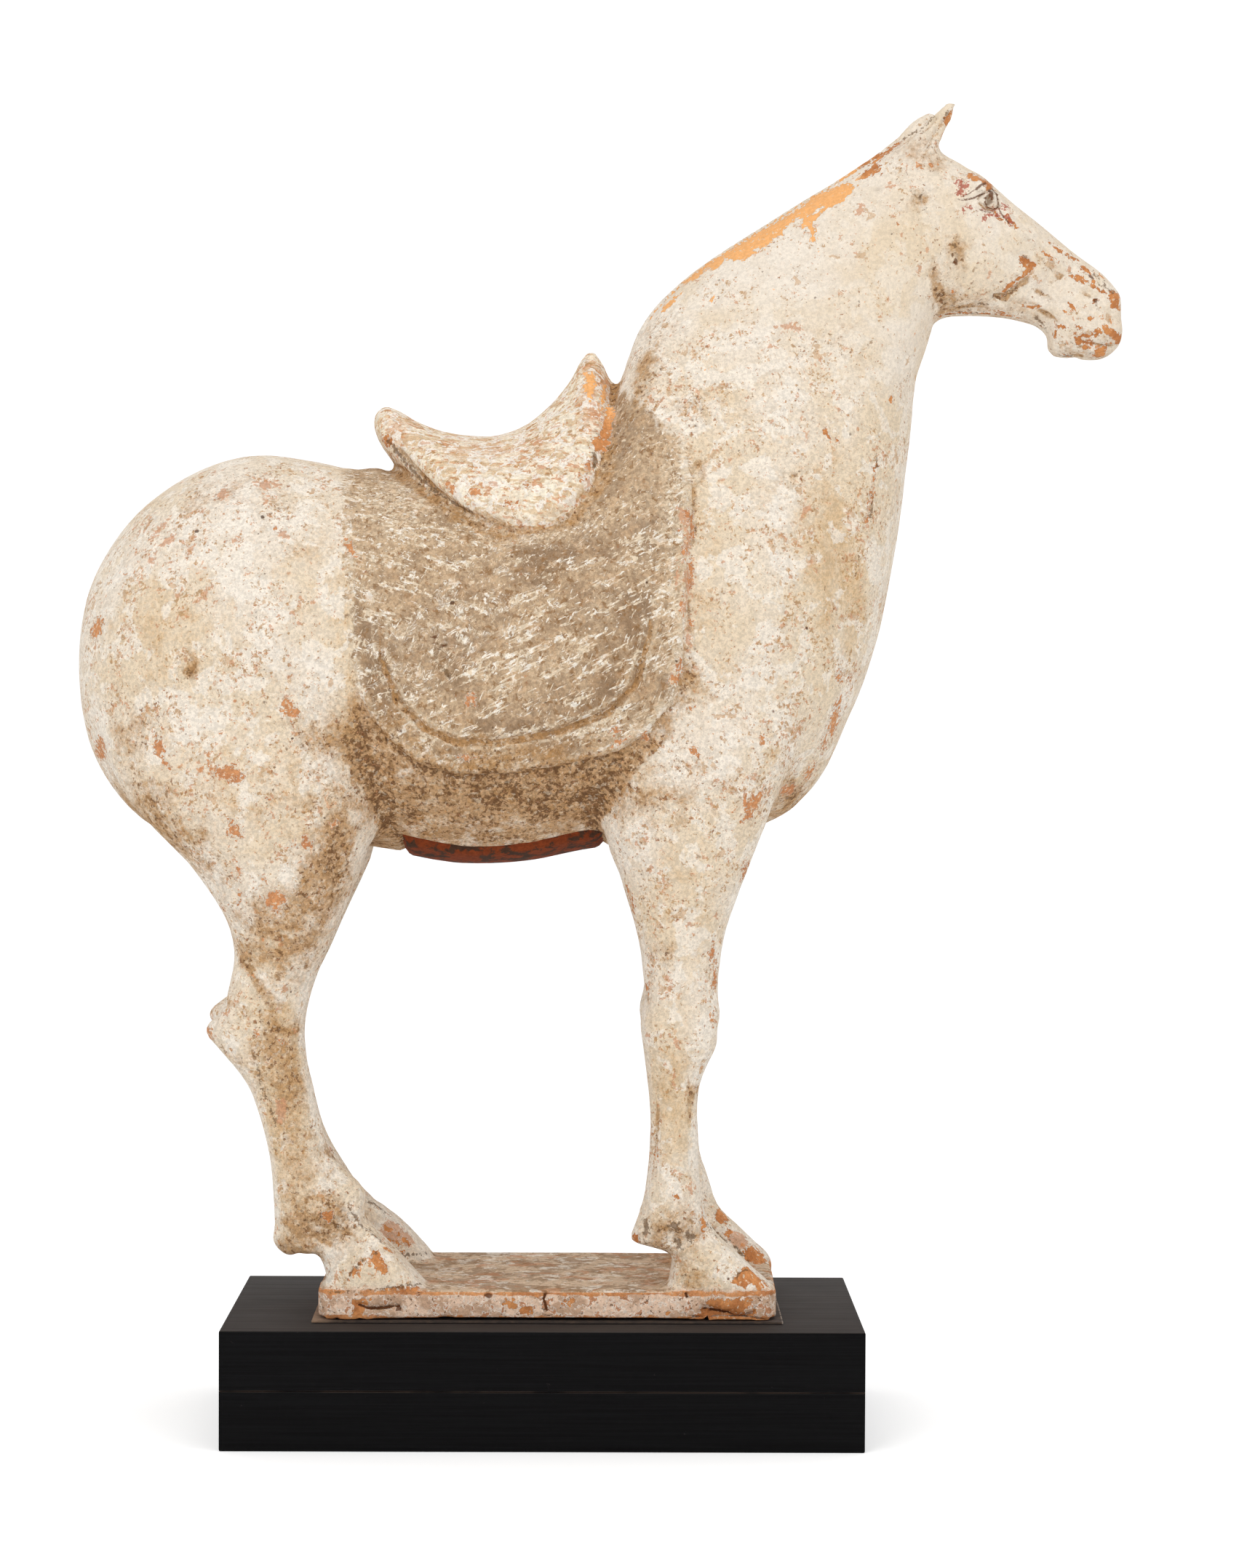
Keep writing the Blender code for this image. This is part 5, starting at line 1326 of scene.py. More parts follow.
def shade(tree, colour, brightness):
    """A colour made lighter or darker by a value near 1."""
    node = tree.nodes.new("ShaderNodeMix")
    node.data_type = "RGBA"
    node.blend_type = "MULTIPLY"
    node.inputs[0].default_value = 1.0
    feed(tree, node.inputs[6], colour)
    grey = tree.nodes.new("ShaderNodeCombineColor")
    for socket in grey.inputs[:3]:
        feed(tree, socket, brightness)
    tree.links.new(grey.outputs[0], node.inputs[7])
    return node.outputs[2]


def scaled(tree, vector, scale):
    """A vector times a number."""
    node = tree.nodes.new("ShaderNodeVectorMath")
    node.operation = "SCALE"
    feed(tree, node.inputs[0], vector)
    feed(tree, node.inputs["Scale"], scale)
    return node.outputs[0]


def grain(tree, vector, scale=1.0, detail=2.0, rough=0.5, distortion=0.0):
    """Smooth noise from 0 to 1."""
    node = tree.nodes.new("ShaderNodeTexNoise")
    feed(tree, node.inputs["Vector"], vector)
    feed(tree, node.inputs["Scale"], scale)
    node.inputs["Detail"].default_value = detail
    node.inputs["Roughness"].default_value = rough
    node.inputs["Distortion"].default_value = distortion
    return node.outputs[0]


def axes(tree, vector):
    """A vector's x, y and z."""
    node = tree.nodes.new("ShaderNodeSeparateXYZ")
    tree.links.new(vector, node.inputs[0])
    return node.outputs


def facing_up(tree):
    """How far the surface faces up, from -1 to 1."""
    return axes(tree, tree.nodes.new("ShaderNodeNewGeometry").outputs["Normal"])[2]


def attribute(tree, name):
    """A field kept on the mesh."""
    node = tree.nodes.new("ShaderNodeAttribute")
    node.attribute_name = name
    return node.outputs["Fac"]


def millimetres(tree):
    """The piece's own coordinates in millimetres."""
    place = tree.nodes.new("ShaderNodeTexCoord")
    return scaled(tree, place.outputs["Object"], 1000.0)


def new_group(name, output, **inputs):
    """An empty shader group with a vector, number inputs and one output, and its two ends."""
    group = bpy.data.node_groups.new(name, "ShaderNodeTree")
    group.interface.new_socket("Vector", in_out="INPUT", socket_type="NodeSocketVector")
    for label, default in inputs.items():
        socket = group.interface.new_socket(label, in_out="INPUT", socket_type="NodeSocketFloat")
        socket.default_value = default
    group.interface.new_socket(output, in_out="OUTPUT", socket_type="NodeSocketFloat")
    start = group.nodes.new("NodeGroupInput")
    end = group.nodes.new("NodeGroupOutput")
    return group, start.outputs, end.inputs[output]


def in_units(group, given, unit):
    """A group's vector measured in one of its own inputs."""
    return scaled(group, given["Vector"], calc(group, "DIVIDE", 1.0, given[unit]))


def cut(group, given, cloud, out):
    """Finish a group with its threshold, softened both ways."""
    low, high = (calc(group, way, given["Threshold"], given["Softness"]) for way in ("SUBTRACT", "ADD"))
    group.links.new(step(group, cloud, low, high), out)
    return group


def use(tree, group, **values):
    """Place a group in a material with its own values, and give its output."""
    node = tree.nodes.new("ShaderNodeGroup")
    node.node_tree = group
    for label, value in values.items():
        feed(tree, node.inputs[label], value)
    return node.outputs[0]


def ragged_edge_group():
    """A painted patch: a field in millimetres cut off along a ragged edge."""
    group, given, out = new_group("ragged edge", "Mask", Field=0.0, Raggedness=0.8, Grain=2.0, Softness=0.08)
    vector = in_units(group, given, "Grain")
    coarse = minus(group, grain(group, vector, 1.0, 3.0, 0.6), 0.5)
    fine = minus(group, grain(group, vector, 4.3, 2.0, 0.6), 0.5)
    wander = more(group, fine, 0.45, times(group, coarse, 1.8))
    field = more(group, wander, given["Raggedness"], given["Field"])
    low = times(group, given["Softness"], -1.0)
    group.links.new(step(group, field, low, given["Softness"]), out)
    return group


def flakes_group():
    """Scattered ragged patches of a size, more of them at a lower threshold."""
    group, given, out = new_group("flakes", "Mask", Size=3.0, Threshold=0.6, Softness=0.03)
    vector = in_units(group, given, "Size")
    cloud = grain(group, vector, 1.0, 5.0, 0.62, 0.3)
    return cut(group, given, cloud, out)


def specks_group():
    """Round specks in random cells, where a chance allows them."""
    group, given, out = new_group("specks", "Mask", Spacing=1.5, Radius=0.25, Chance=0.3)
    vector = in_units(group, given, "Spacing")
    cells = group.nodes.new("ShaderNodeTexVoronoi")
    cells.inputs["Scale"].default_value = 1.0
    cells.inputs["Randomness"].default_value = 1.0
    group.links.new(vector, cells.inputs["Vector"])
    parts = group.nodes.new("ShaderNodeSeparateColor")
    group.links.new(cells.outputs["Color"], parts.inputs[0])
    wander = more(group, minus(group, grain(group, vector, 3.0, 2.0), 0.5), 0.35,
                  cells.outputs["Distance"])
    radius = times(group, given["Radius"], more(group, parts.outputs[1], 0.8, 0.35))
    dot = step(group, wander, times(group, radius, 0.75), radius, 1.0, 0.0)
    there = calc(group, "LESS_THAN", parts.outputs[0], given["Chance"])
    group.links.new(times(group, dot, there), out)
    return group


def strokes_group():
    """Long thin marks in the side view, turned by an angle in degrees."""
    group, given, out = new_group("strokes", "Mask", Turn=0.0, Length=20.0, Width=1.0, Threshold=0.6,
                                  Softness=0.04)
    turn = group.nodes.new("ShaderNodeVectorRotate")
    turn.rotation_type = "Y_AXIS"
    group.links.new(given["Vector"], turn.inputs["Vector"])
    group.links.new(times(group, given["Turn"], math.pi / 180), turn.inputs["Angle"])
    place = axes(group, turn.outputs[0])
    join = group.nodes.new("ShaderNodeCombineXYZ")
    for i, length in enumerate((given["Length"], given["Width"], given["Width"])):
        group.links.new(calc(group, "DIVIDE", place[i], length), join.inputs[i])
    cloud = grain(group, join.outputs[0], 1.0, 3.0, 0.6, 0.2)
    return cut(group, given, cloud, out)


def relief_group():
    """Fine surface heights in millimetres, of a size and a depth."""
    group, given, out = new_group("fine relief", "Height", Size=1.0, Depth=0.05)
    vector = in_units(group, given, "Size")
    cloud = minus(group, grain(group, vector, 1.0, 4.0, 0.6), 0.5)
    group.links.new(times(group, cloud, given["Depth"]), out)
    return group


GROUP_MAKERS = {
    "ragged edge": ragged_edge_group,
    "flakes": flakes_group,
    "specks": specks_group,
    "strokes": strokes_group,
    "fine relief": relief_group,
}


def effect(name):
    """A shared effect, built the first time it is asked for."""
    return bpy.data.node_groups.get(name) or GROUP_MAKERS[name]()


def new_material(name, roughness):
    """A material with its shader, ready for nodes."""
    material = bpy.data.materials.new(name)
    material.use_nodes = True
    shader = material.node_tree.nodes["Principled BSDF"]
    shader.inputs["Roughness"].default_value = roughness
    return material, material.node_tree, shader


def bump(tree, shader, height):
    """Feed heights in millimetres to the shader's normal."""
    node = tree.nodes.new("ShaderNodeBump")
    node.inputs["Strength"].default_value = 1.0
    node.inputs["Distance"].default_value = MM
    feed(tree, node.inputs["Height"], height)
    tree.links.new(node.outputs[0], shader.inputs["Normal"])


# ---- finishes ----


def flaky(tree, mm, size, threshold, softness):
    """Scattered flakes."""
    return use(tree, effect("flakes"), Vector=mm, Size=size, Threshold=threshold, Softness=softness)


def ragged(tree, mm, field, raggedness, grain_size, softness):
    """A field cut off along a ragged edge."""
    return use(tree, effect("ragged edge"), Vector=mm, Field=field, Raggedness=raggedness, Grain=grain_size,
               Softness=softness)


def brushed(tree, mm, turn, length, width, threshold, softness):
    """Broken strokes of a brush."""
    return use(tree, effect("strokes"), Vector=mm, Turn=turn, Length=length, Width=width,
               Threshold=threshold, Softness=softness)


def speckled(tree, mm, spacing, radius, chance):
    """Round specks."""
    return use(tree, effect("specks"), Vector=mm, Spacing=spacing, Radius=radius, Chance=chance)


def relief(tree, mm, size, depth):
    """Fine heights in millimetres."""
    return use(tree, effect("fine relief"), Vector=mm, Size=size, Depth=depth)


def over(tree, colour, paint, *masks):
    """A paint laid over a colour where all its masks allow."""
    return blend(tree, times(tree, *masks), colour, paint)


def layers(tree, mm, colour, *paints):
    """Flakes of several paints laid one over another: paint, size, threshold, softness and strength."""
    for paint, size, threshold, softness, strength in paints:
        colour = over(tree, colour, paint, flaky(tree, mm, size, threshold, softness), strength)
    return colour


def slip_colours(tree, looks, mm, field):
    """Cream slip with ochre zones, white chalky patches, and tan and brown flecks in clusters."""
    cloud = grain(tree, mm, 1 / 34, 4.0, 0.6, 0.4)
    patch = grain(tree, mm, 1 / 8, 6.0, 0.75)
    creamy = step(tree, more(tree, field["ochre"], 0.45, cloud), 0.38, 0.74)
    colour = blend(tree, creamy, looks.slip_colour, looks.cream_colour)
    tanned = more(tree, field["ochre"], 0.30, times(tree, patch, more(tree, field["clean"], -0.2, 0.9)))
    colour = blend(tree, step(tree, tanned, 0.50, 0.80, 0.0, 0.75), colour, looks.ochre_colour)
    less_white = more(tree, any_of(tree, field["ochre"], field["grime"]), 0.10, 0.505)
    chalk = flaky(tree, mm, 10.0, less_white, 0.02)
    colour = over(tree, colour, looks.chalk_colour, chalk, more(tree, field["clean"], -0.3, 0.6))
    cluster = step(tree, grain(tree, mm, 1 / 13, 5.0, 0.7), 0.46, 0.60)
    cluster = times(tree, cluster, step(tree, field["clean"], 0.0, 1.0, 1.0, 0.8))
    few = more(tree, field["clean"], 0.02, 0.67)
    fewer = more(tree, field["clean"], 0.03, 0.65)
    colour = layers(tree, mm, colour,
                    (looks.fleck_colour, 5.0, more(tree, cluster, -0.09, 0.68), 0.012, 0.7),
                    (looks.rubbed_colour, 2.3, more(tree, cluster, -0.09, few), 0.015, 0.75),
                    (looks.dirt_and_shade_colour, 1.4, more(tree, cluster, -0.08, fewer), 0.02, 0.75))
    return colour, patch, cluster


def wash_colours(tree, looks, mm, field, patch):
    """The cloth's grey-brown wash, brushed over with broken white strokes; its edge and line painted with
    highlight and shade.
    """
    depth = more(tree, field["cloth_dark"], 0.40, grain(tree, mm, 1 / 17, 6.0, 0.75))
    depth = more(tree, field["worn_white"], -0.14, depth)
    colour = blend(tree, step(tree, depth, 0.43, 0.73), looks.wash_colour, looks.wash_dark_colour)
    powder = times(tree, field["worn_white"], step(tree, patch, 0.40, 0.54), 0.75)
    colour = blend(tree, powder, colour, looks.cream_colour)
    fine = grain(tree, mm, 1 / 1.6, 3.0, 0.75)
    colour = blend(tree, step(tree, fine, 0.45, 0.55, 0.0, 0.5), colour, looks.wash_dark_colour)
    colour = over(tree, colour, looks.crust_colour, flaky(tree, mm, 2.3, 0.58, 0.02), 0.8)
    rising = brushed(tree, mm, 27.0, 16.0, 4.0, 0.52, 0.06)
    falling = brushed(tree, mm, -24.0, 14.0, 4.0, 0.52, 0.06)
    x, _, z = axes(tree, mm)
    rear_top = minus(tree, times(tree, z, 0.012), times(tree, x, 0.012))
    which = step(tree, plus(tree, rear_top, grain(tree, mm, 1 / 24, 2.0)), 4.15, 4.45)
    mixed = tree.nodes.new("ShaderNodeMix")
    for place, value in ((0, which), (2, rising), (3, falling)):
        feed(tree, mixed.inputs[place], value)
    calm = times(tree, step(tree, z, 312.0, 332.0), step(tree, x, 6.0, 20.0))
    swept = times(tree, mixed.outputs[0], more(tree, calm, -0.8, 1.0))
    clusters = any_of(tree, swept, times(tree, field["worn_white"], 0.9))
    bent = minus(tree, 27.0, times(tree, which, 50.0))
    dash = brushed(tree, mm, bent, 6.0, 0.9, more(tree, clusters, -0.13, 0.665), 0.025)
    stray = brushed(tree, mm, 66.0, 5.0, 0.9, more(tree, clusters, -0.06, 0.66), 0.025)
    crumb = flaky(tree, mm, 1.4, more(tree, clusters, -0.08, 0.66), 0.03)
    speck = flaky(tree, mm, 3.6, more(tree, clusters, -0.08, 0.67), 0.02)
    lower = step(tree, z, 352.0, 336.0)
    # a painted highlight along the cloth's rolled edge
    edge = step(tree, apart(tree, field["cloth"], 1.2), 0.3, 2.2, 0.75, 0.0)
    edge = times(tree, edge, step(tree, patch, 0.42, 0.56), step(tree, fine, 0.40, 0.54), lower)
    pale = any_of(tree, dash, stray, crumb, speck, edge)
    colour = over(tree, colour, looks.cream_colour, pale, 0.9)
    colour = over(tree, colour, looks.chalk_colour, pale, flaky(tree, mm, 2.6, 0.52, 0.02), 0.9)
    colour = over(tree, colour, looks.fleck_colour, flaky(tree, mm, 5.0, 0.57, 0.03), 0.35)
    # the line cut along the cloth's border, dark with dirt and painted shade, and a painted highlight beside
    # it
    fading = step(tree, z, 300.0, 265.0, 0.25, 1.0)
    line = times(tree, step(tree, field["cloth_line"], 0.2, 1.1, 0.8, 0.0), fading)
    colour = over(tree, colour, looks.crust_colour, line, step(tree, patch, 0.42, 0.56, 0.25, 0.9))
    highlight_beside_line = step(tree, apart(tree, field["cloth_line"], 2.3), 0.9, 0.3)
    highlight_beside_line = times(tree, highlight_beside_line, step(tree, fine, 0.46, 0.54), 0.6, fading)
    colour = blend(tree, highlight_beside_line, colour, looks.cream_colour)
    return colour, line


def saddle_colours(tree, looks, mm, field, patch):
    """White slip on the saddle, rubbed through in streaks to pale orange."""
    sweep = brushed(tree, mm, -12.0, 16.0, 3.4, 0.53, 0.02)
    worn = step(tree, grain(tree, mm, 1 / 9, 4.0, 0.7), 0.47, 0.58)
    rub = brushed(tree, mm, -14.0, 5.5, 1.6, more(tree, worn, -0.09, 0.63), 0.015)
    colour = blend(tree, step(tree, patch, 0.44, 0.56, 0.0, 0.7), looks.saddle_colour, looks.cream_colour)
    colour = over(tree, colour, looks.ochre_colour, sweep, 0.7)
    colour = over(tree, colour, looks.peach_colour, rub, 0.8)
    colour = over(tree, colour, looks.peach_colour, field["ochre"], step(tree, patch, 0.40, 0.54), 0.85)
    return layers(tree, mm, colour,
                  (looks.dirt_and_shade_colour, 2.4, more(tree, worn, -0.07, 0.64), 0.015, 0.8),
                  (looks.chalk_colour, 4.0, 0.54, 0.015, 0.9))


def slab_colours(tree, looks, mm, level):
    """Pinkish wash on the slab's sides, streaked grey-brown on its top."""
    streak = flaky(tree, mm, 14.0, 0.5, 0.03)
    top = layers(tree, mm, blend(tree, streak, looks.slab_top_colour, looks.slab_streak_colour),
                 (looks.chalk_colour, 7.0, 0.55, 0.015, 0.65),
                 (looks.clay_dark_colour, 10.0, 0.57, 0.02, 0.55),
                 (looks.crust_colour, 4.0, 0.57, 0.02, 0.6))
    side = layers(tree, mm, blend(tree, streak, looks.slab_side_colour, looks.slab_stain_colour),
                  (looks.chalk_colour, 3.0, 0.53, 0.015, 0.65),
                  (looks.clay_dark_colour, 3.0, 0.58, 0.02, 0.85),
                  (looks.stipple_colour, 1.4, 0.63, 0.02, 0.9))
    return blend(tree, step(tree, level, 0.45, 0.8), side, top)


def painted_clay(looks):
    """Cream slip over orange clay, with the cloth's grey wash, stains, losses, ink, painted shade and
    highlights.
    """
    material, tree, shader = new_material("painted_earthenware", 0.86)
    shader.inputs["Specular IOR Level"].default_value = 0.2
    mm = millimetres(tree)
    field = {name: attribute(tree, name) for name in (
        "bare", "rubbed", "red", "ink", "stain", "crack", "grime", "crumbly", "shade", "clean", "faded",
        "ochre", "worn_white", "cloth_dark", "cloth", "cloth_line", "saddle", "strip", "slab", "slab_rim",
        "slab_foot", "hollow")}
    level = facing_up(tree)

    # the painted areas, one over another
    x, _, z = axes(tree, mm)
    high = step(tree, z, 325.0, 350.0)
    cloth = ragged(tree, mm, field["cloth"], more(tree, high, 4.0, 8.0), more(tree, high, 3.0, 4.0),
                   more(tree, high, 1.5, 0.7))
    off_saddle = step(tree, field["saddle"], 0.4, 1.0)
    cloth = times(tree, cloth, off_saddle)
    saddle = minus(tree, 1.0, off_saddle)
    slab = field["slab"]
    colour, patch, cluster = slip_colours(tree, looks, mm, field)
    wash, line = wash_colours(tree, looks, mm, field, patch)
    colour = over(tree, colour, wash, cloth, 0.97)
    colour = blend(tree, saddle, colour, saddle_colours(tree, looks, mm, field, patch))
    colour = blend(tree, slab, colour, slab_colours(tree, looks, mm, level))

    # dirt and painted shade: a brown film, mottled crust and dark stipple, thick where stained, in hollows
    # and on surfaces facing down, the last two standing for shade as well as dirt
    hollow = step(tree, field["hollow"], 0.02, 0.5)
    below = step(tree, level, -0.1, -0.8)
    bare_slab = step(tree, slab, 0.0, 1.0, 1.0, 0.45)
    dirt_and_shade = plus(tree, field["grime"], plus(tree, times(tree, hollow, 0.55), times(tree, below, 0.3)))
    uneven = step(tree, grain(tree, mm, 1 / 12, 5.0, 0.75), 0.40, 0.60, 0.7, 1.35)
    dirt_and_shade = times(tree, dirt_and_shade, bare_slab, uneven)
    film = more(tree, dirt_and_shade, 0.52, grain(tree, mm, 1 / 7, 6.0, 0.8))
    colour = blend(tree, step(tree, film, 0.56, 0.94, 0.0, 0.85), colour, looks.dirt_and_shade_colour)
    dotted = more(tree, dirt_and_shade, -0.13, more(tree, cluster, -0.04, 0.69))
    colour = layers(tree, mm, colour,
                    (looks.crust_colour, 3.0, more(tree, dirt_and_shade, -0.135, 0.7), 0.03, 0.65),
                    (looks.stipple_colour, 1.6, dotted, 0.02, 0.85))
    lumps = flaky(tree, mm, 2.4, more(tree, dirt_and_shade, -0.01, 0.6), 0.03)
    colour = over(tree, colour, looks.cream_colour, lumps, step(tree, dirt_and_shade, 0.15, 0.6), 0.45)
    # grey-brown marks such as the iris, and painted shade in the fetlock hollows and on the saddle's rear
    # face
    colour = layers(tree, mm, colour,
                    (looks.stain_colour, 1.6, more(tree, field["shade"], -0.45, 0.75), 0.12, 0.8))
    chance = times(tree, more(tree, dirt_and_shade, 0.3, more(tree, cluster, 0.2, 0.10)),
                   more(tree, field["clean"], -0.5, 1.0))
    dots = speckled(tree, mm, 3.0, 0.13, chance)
    big_dots = speckled(tree, mm, 11.0, 0.065, chance)
    dots = any_of(tree, times(tree, dots, 0.6), times(tree, big_dots, 0.85))
    colour = over(tree, colour, looks.speck_colour, dots, bare_slab)

    # losses of slip: small flakes and specks of clay, rubbed areas, then clean breaks down to clay
    warm = blend(tree, step(tree, patch, 0.4, 0.6), looks.clay_colour, looks.clay_dark_colour)
    warm = over(tree, warm, looks.rubbed_colour, field["faded"], 0.35)
    # the slot along the crest in a lighter clay: painted light in the slot's shade
    crest = times(tree, step(tree, x, 112.0, 108.0), step(tree, z, 350.0, 362.0))
    warm = blend(tree, crest, warm, looks.crest_clay_painted_light_colour)
    few = more(tree, saddle, -0.05, more(tree, cloth, 0.03, more(tree, field["clean"], 0.02, 0.66)))
    flake = times(tree, flaky(tree, mm, 4.0, plus(tree, few, 0.03), 0.015), 0.6)
    small = any_of(tree, flake, times(tree, flaky(tree, mm, 1.6, few, 0.03), 0.5))
    colour = over(tree, colour, looks.peach_colour, small, bare_slab)
    rubbed = ragged(tree, mm, field["rubbed"], 3.2, 1.3, 0.12)
    colour = over(tree, colour, looks.rubbed_colour, rubbed, 0.75)
    torn = more(tree, field["faded"], 1.2, more(tree, field["clean"], -0.4, 2.6))
    bare = ragged(tree, mm, plus(tree, field["bare"], 0.2), torn, 1.5, 0.07)
    halo = ragged(tree, mm, plus(tree, field["bare"], 0.5), torn, 1.5, 0.07)
    rim_field = minus(tree, looks.slab_rim_width / MM, minus(tree, 1.4, field["slab_rim"]))
    rim = ragged(tree, mm, rim_field, 1.8, 6.0, 0.2)
    foot = ragged(tree, mm, minus(tree, 1.0, field["slab_foot"]), 2.6, 5.0, 0.15)
    slab_bare = times(tree, any_of(tree, rim, foot), step(tree, slab, 0.6, 1.0, 0.0, 0.92))
    colour = over(tree, colour, looks.chalk_colour, halo, 0.5)
    dusty_clay = flaky(tree, mm, 1.6, more(tree, field["faded"], -0.05, 0.62), 0.02)
    warm = over(tree, warm, looks.cream_colour, dusty_clay, 0.75)
    crumbs = flaky(tree, mm, 2.6, more(tree, field["crumbly"], -0.195, 0.72), 0.015)
    colour = blend(tree, any_of(tree, bare, slab_bare, times(tree, crumbs, 0.9)), colour, warm)
    # the strip under the belly, its clay darkened with painted shade and flecked with dirt
    belly = blend(tree, flaky(tree, mm, 5.0, 0.53, 0.03), looks.strip_clay_and_shade_colour, looks.strip_dirt_colour)
    colour = blend(tree, ragged(tree, mm, field["strip"], 1.2, 3.0, 0.2), colour, belly)

    # stains, with painted shadow in creases, red paint, ink, with painted shade in pits, and cracks
    for name, raggedness, size, softness, strength in (
            ("stain", 2.4, 1.2, 0.2, 0.75), ("red", 2.6, 0.9, 0.1, 0.85), ("ink", 0.45, 0.8, 0.16, 0.85)):
        mark = ragged(tree, mm, field[name], raggedness, size, softness)
        colour = over(tree, colour, getattr(looks, name + "_colour"), mark, strength)
    crack = ragged(tree, mm, field["crack"], 0.5, 1.2, 0.1)
    colour = blend(tree, crack, colour, looks.ink_colour)

    # fine mottling of everything
    mottle = plus(tree, step(tree, grain(tree, mm, 0.8, 4.0, 0.8), 0.4, 0.6, 0.85, 1.1),
                  step(tree, grain(tree, mm, 1 / 3, 3.0, 0.6), 0.3, 0.7, -0.03, 0.02))
    swing = more(tree, field["clean"], -0.4, more(tree, dirt_and_shade, 0.7, 1.0))
    mottle = more(tree, minus(tree, mottle, 1.0), swing, 1.0)
    colour = shade(tree, colour, mottle)
    tree.links.new(colour, shader.inputs["Base Color"])

    # heights in millimetres: breaks in the slip, grain, pits, cracks and the cloth's line
    height = plus(tree, times(tree, bare, -0.14), relief(tree, mm, 2.6, 0.3))
    height = plus(tree, height, relief(tree, mm, 1.1, 0.3))
    pits = speckled(tree, mm, 3.4, 0.15, 0.3)
    height = more(tree, any_of(tree, pits, times(tree, crack, 2.0)), -0.2, height)
    height = more(tree, times(tree, line, off_saddle), -0.2, height)
    bump(tree, shader, height)
    tree.links.new(step(tree, bare, 0.0, 1.0, 0.9, 0.78), shader.inputs["Roughness"])
    return material


def stained_wood(looks):
    """Black stained boards with a faint grain, softly worn edges, settled dust and painted sheen on the top.
    """
    material, tree, shader = new_material("black_stained_wood", 0.42)
    shader.inputs["Specular IOR Level"].default_value = 0.06
    mm = millimetres(tree)
    fibres = brushed(tree, mm, 0.0, 60.0, 0.9, 0.5, 0.2)
    colour = blend(tree, fibres, looks.wood_colour, looks.wood_fibre_colour)
    # the top lighter: settled dust and painted sheen
    up = step(tree, facing_up(tree), 0.5, 0.95)
    dust_and_sheen_on_top = times(tree, up, step(tree, grain(tree, mm, 1 / 22, 4.0, 0.6), 0.2, 0.8, 0.75, 1.0))
    colour = blend(tree, dust_and_sheen_on_top, colour, looks.dust_and_sheen_colour)
    colour = over(tree, colour, looks.dust_and_sheen_colour, flaky(tree, mm, 5.0, 0.72, 0.02), 0.25)
    seam = step(tree, apart(tree, axes(tree, mm)[2], looks.joint_level / MM), 0.12, 0.42, 0.8, 0.0)
    colour = over(tree, colour, looks.seam_colour, seam, step(tree, grain(tree, mm, 1 / 14, 3.0), 0.3, 0.55))
    tree.links.new(colour, shader.inputs["Base Color"])
    rough = plus(tree, times(tree, up, 0.2), step(tree, fibres, 0.0, 1.0, 0.38, 0.48))
    tree.links.new(rough, shader.inputs["Roughness"])
    height = plus(tree, times(tree, fibres, -0.015), relief(tree, mm, 1.2, 0.02))
    bump(tree, shader, height)
    return material


def pad_finish(looks):
    """A thin brown sheet, tan at the rear end and dark at the front, its own colour and painted shadow of
    the slab.
    """
    material, tree, shader = new_material("brown_pad", 0.85)
    mm = millimetres(tree)
    x = axes(tree, mm)[0]
    cloud = grain(tree, mm, 1 / 3, 4.0, 0.6)
    # dark over the front: the pad's own colour and painted shadow of the slab, with darker blotches of both
    colour = blend(tree, step(tree, x, -80.0, -70.0), looks.pad_colour, looks.pad_dark_and_shadow_colour)
    colour = blend(tree, step(tree, cloud, 0.4, 0.7, 0.0, 0.5), colour, looks.stain_colour)
    edge = step(tree, x, looks.pad_front / MM - 0.9, looks.pad_front / MM - 0.5)
    colour = over(tree, colour, looks.pad_edge_colour, edge, step(tree, cloud, 0.35, 0.55))
    tree.links.new(colour, shader.inputs["Base Color"])
    bump(tree, shader, relief(tree, mm, 0.5, 0.08))
    return material


def plain_floor(looks):
    """Matt pale paper that looks lighter to the camera than the light it passes on."""
    material, tree, shader = new_material("pale_paper", 0.95)
    shader.inputs["Specular IOR Level"].default_value = 0.0
    shader.inputs["Emission Strength"].default_value = looks.glow
    ray = tree.nodes.new("ShaderNodeLightPath")
    glow = blend(tree, ray.outputs["Is Camera Ray"], (0.0, 0.0, 0.0), (1.0, 1.0, 1.0))
    tree.links.new(glow, shader.inputs["Emission Color"])
    mm = millimetres(tree)
    tone = grain(tree, mm, 1 / 3, 2.0)
    colour = blend(tree, step(tree, tone, 0.3, 0.7, 0.0, 0.04), looks.floor_colour, (0.8, 0.8, 0.8))
    tree.links.new(colour, shader.inputs["Base Color"])
    return material


# ---- plinth and stage ----


def board(name, low, high, round_edges, joint_above, joint_below):
    """A board between two corners, its outer edges eased and those at the joint left crisp."""
    shape = block(low, high)
    joints = [{round(level, 6)} for level, crisp in ((high[2], joint_above), (low[2], joint_below)) if crisp]
    eased = [e for e in shape.edges if {round(v.co.z, 6) for v in e.verts} not in joints]
    bmesh.ops.bevel(shape, geom=eased, offset=round_edges, segments=4, affect="EDGES", profile=0.5)
    body = as_object(name, shape)
    body.data.shade_smooth()
    body.data.set_sharp_from_angle(angle=math.radians(35))
    return body


PAD_STEPS_LONG = 44
PAD_STEPS_DEEP = 24


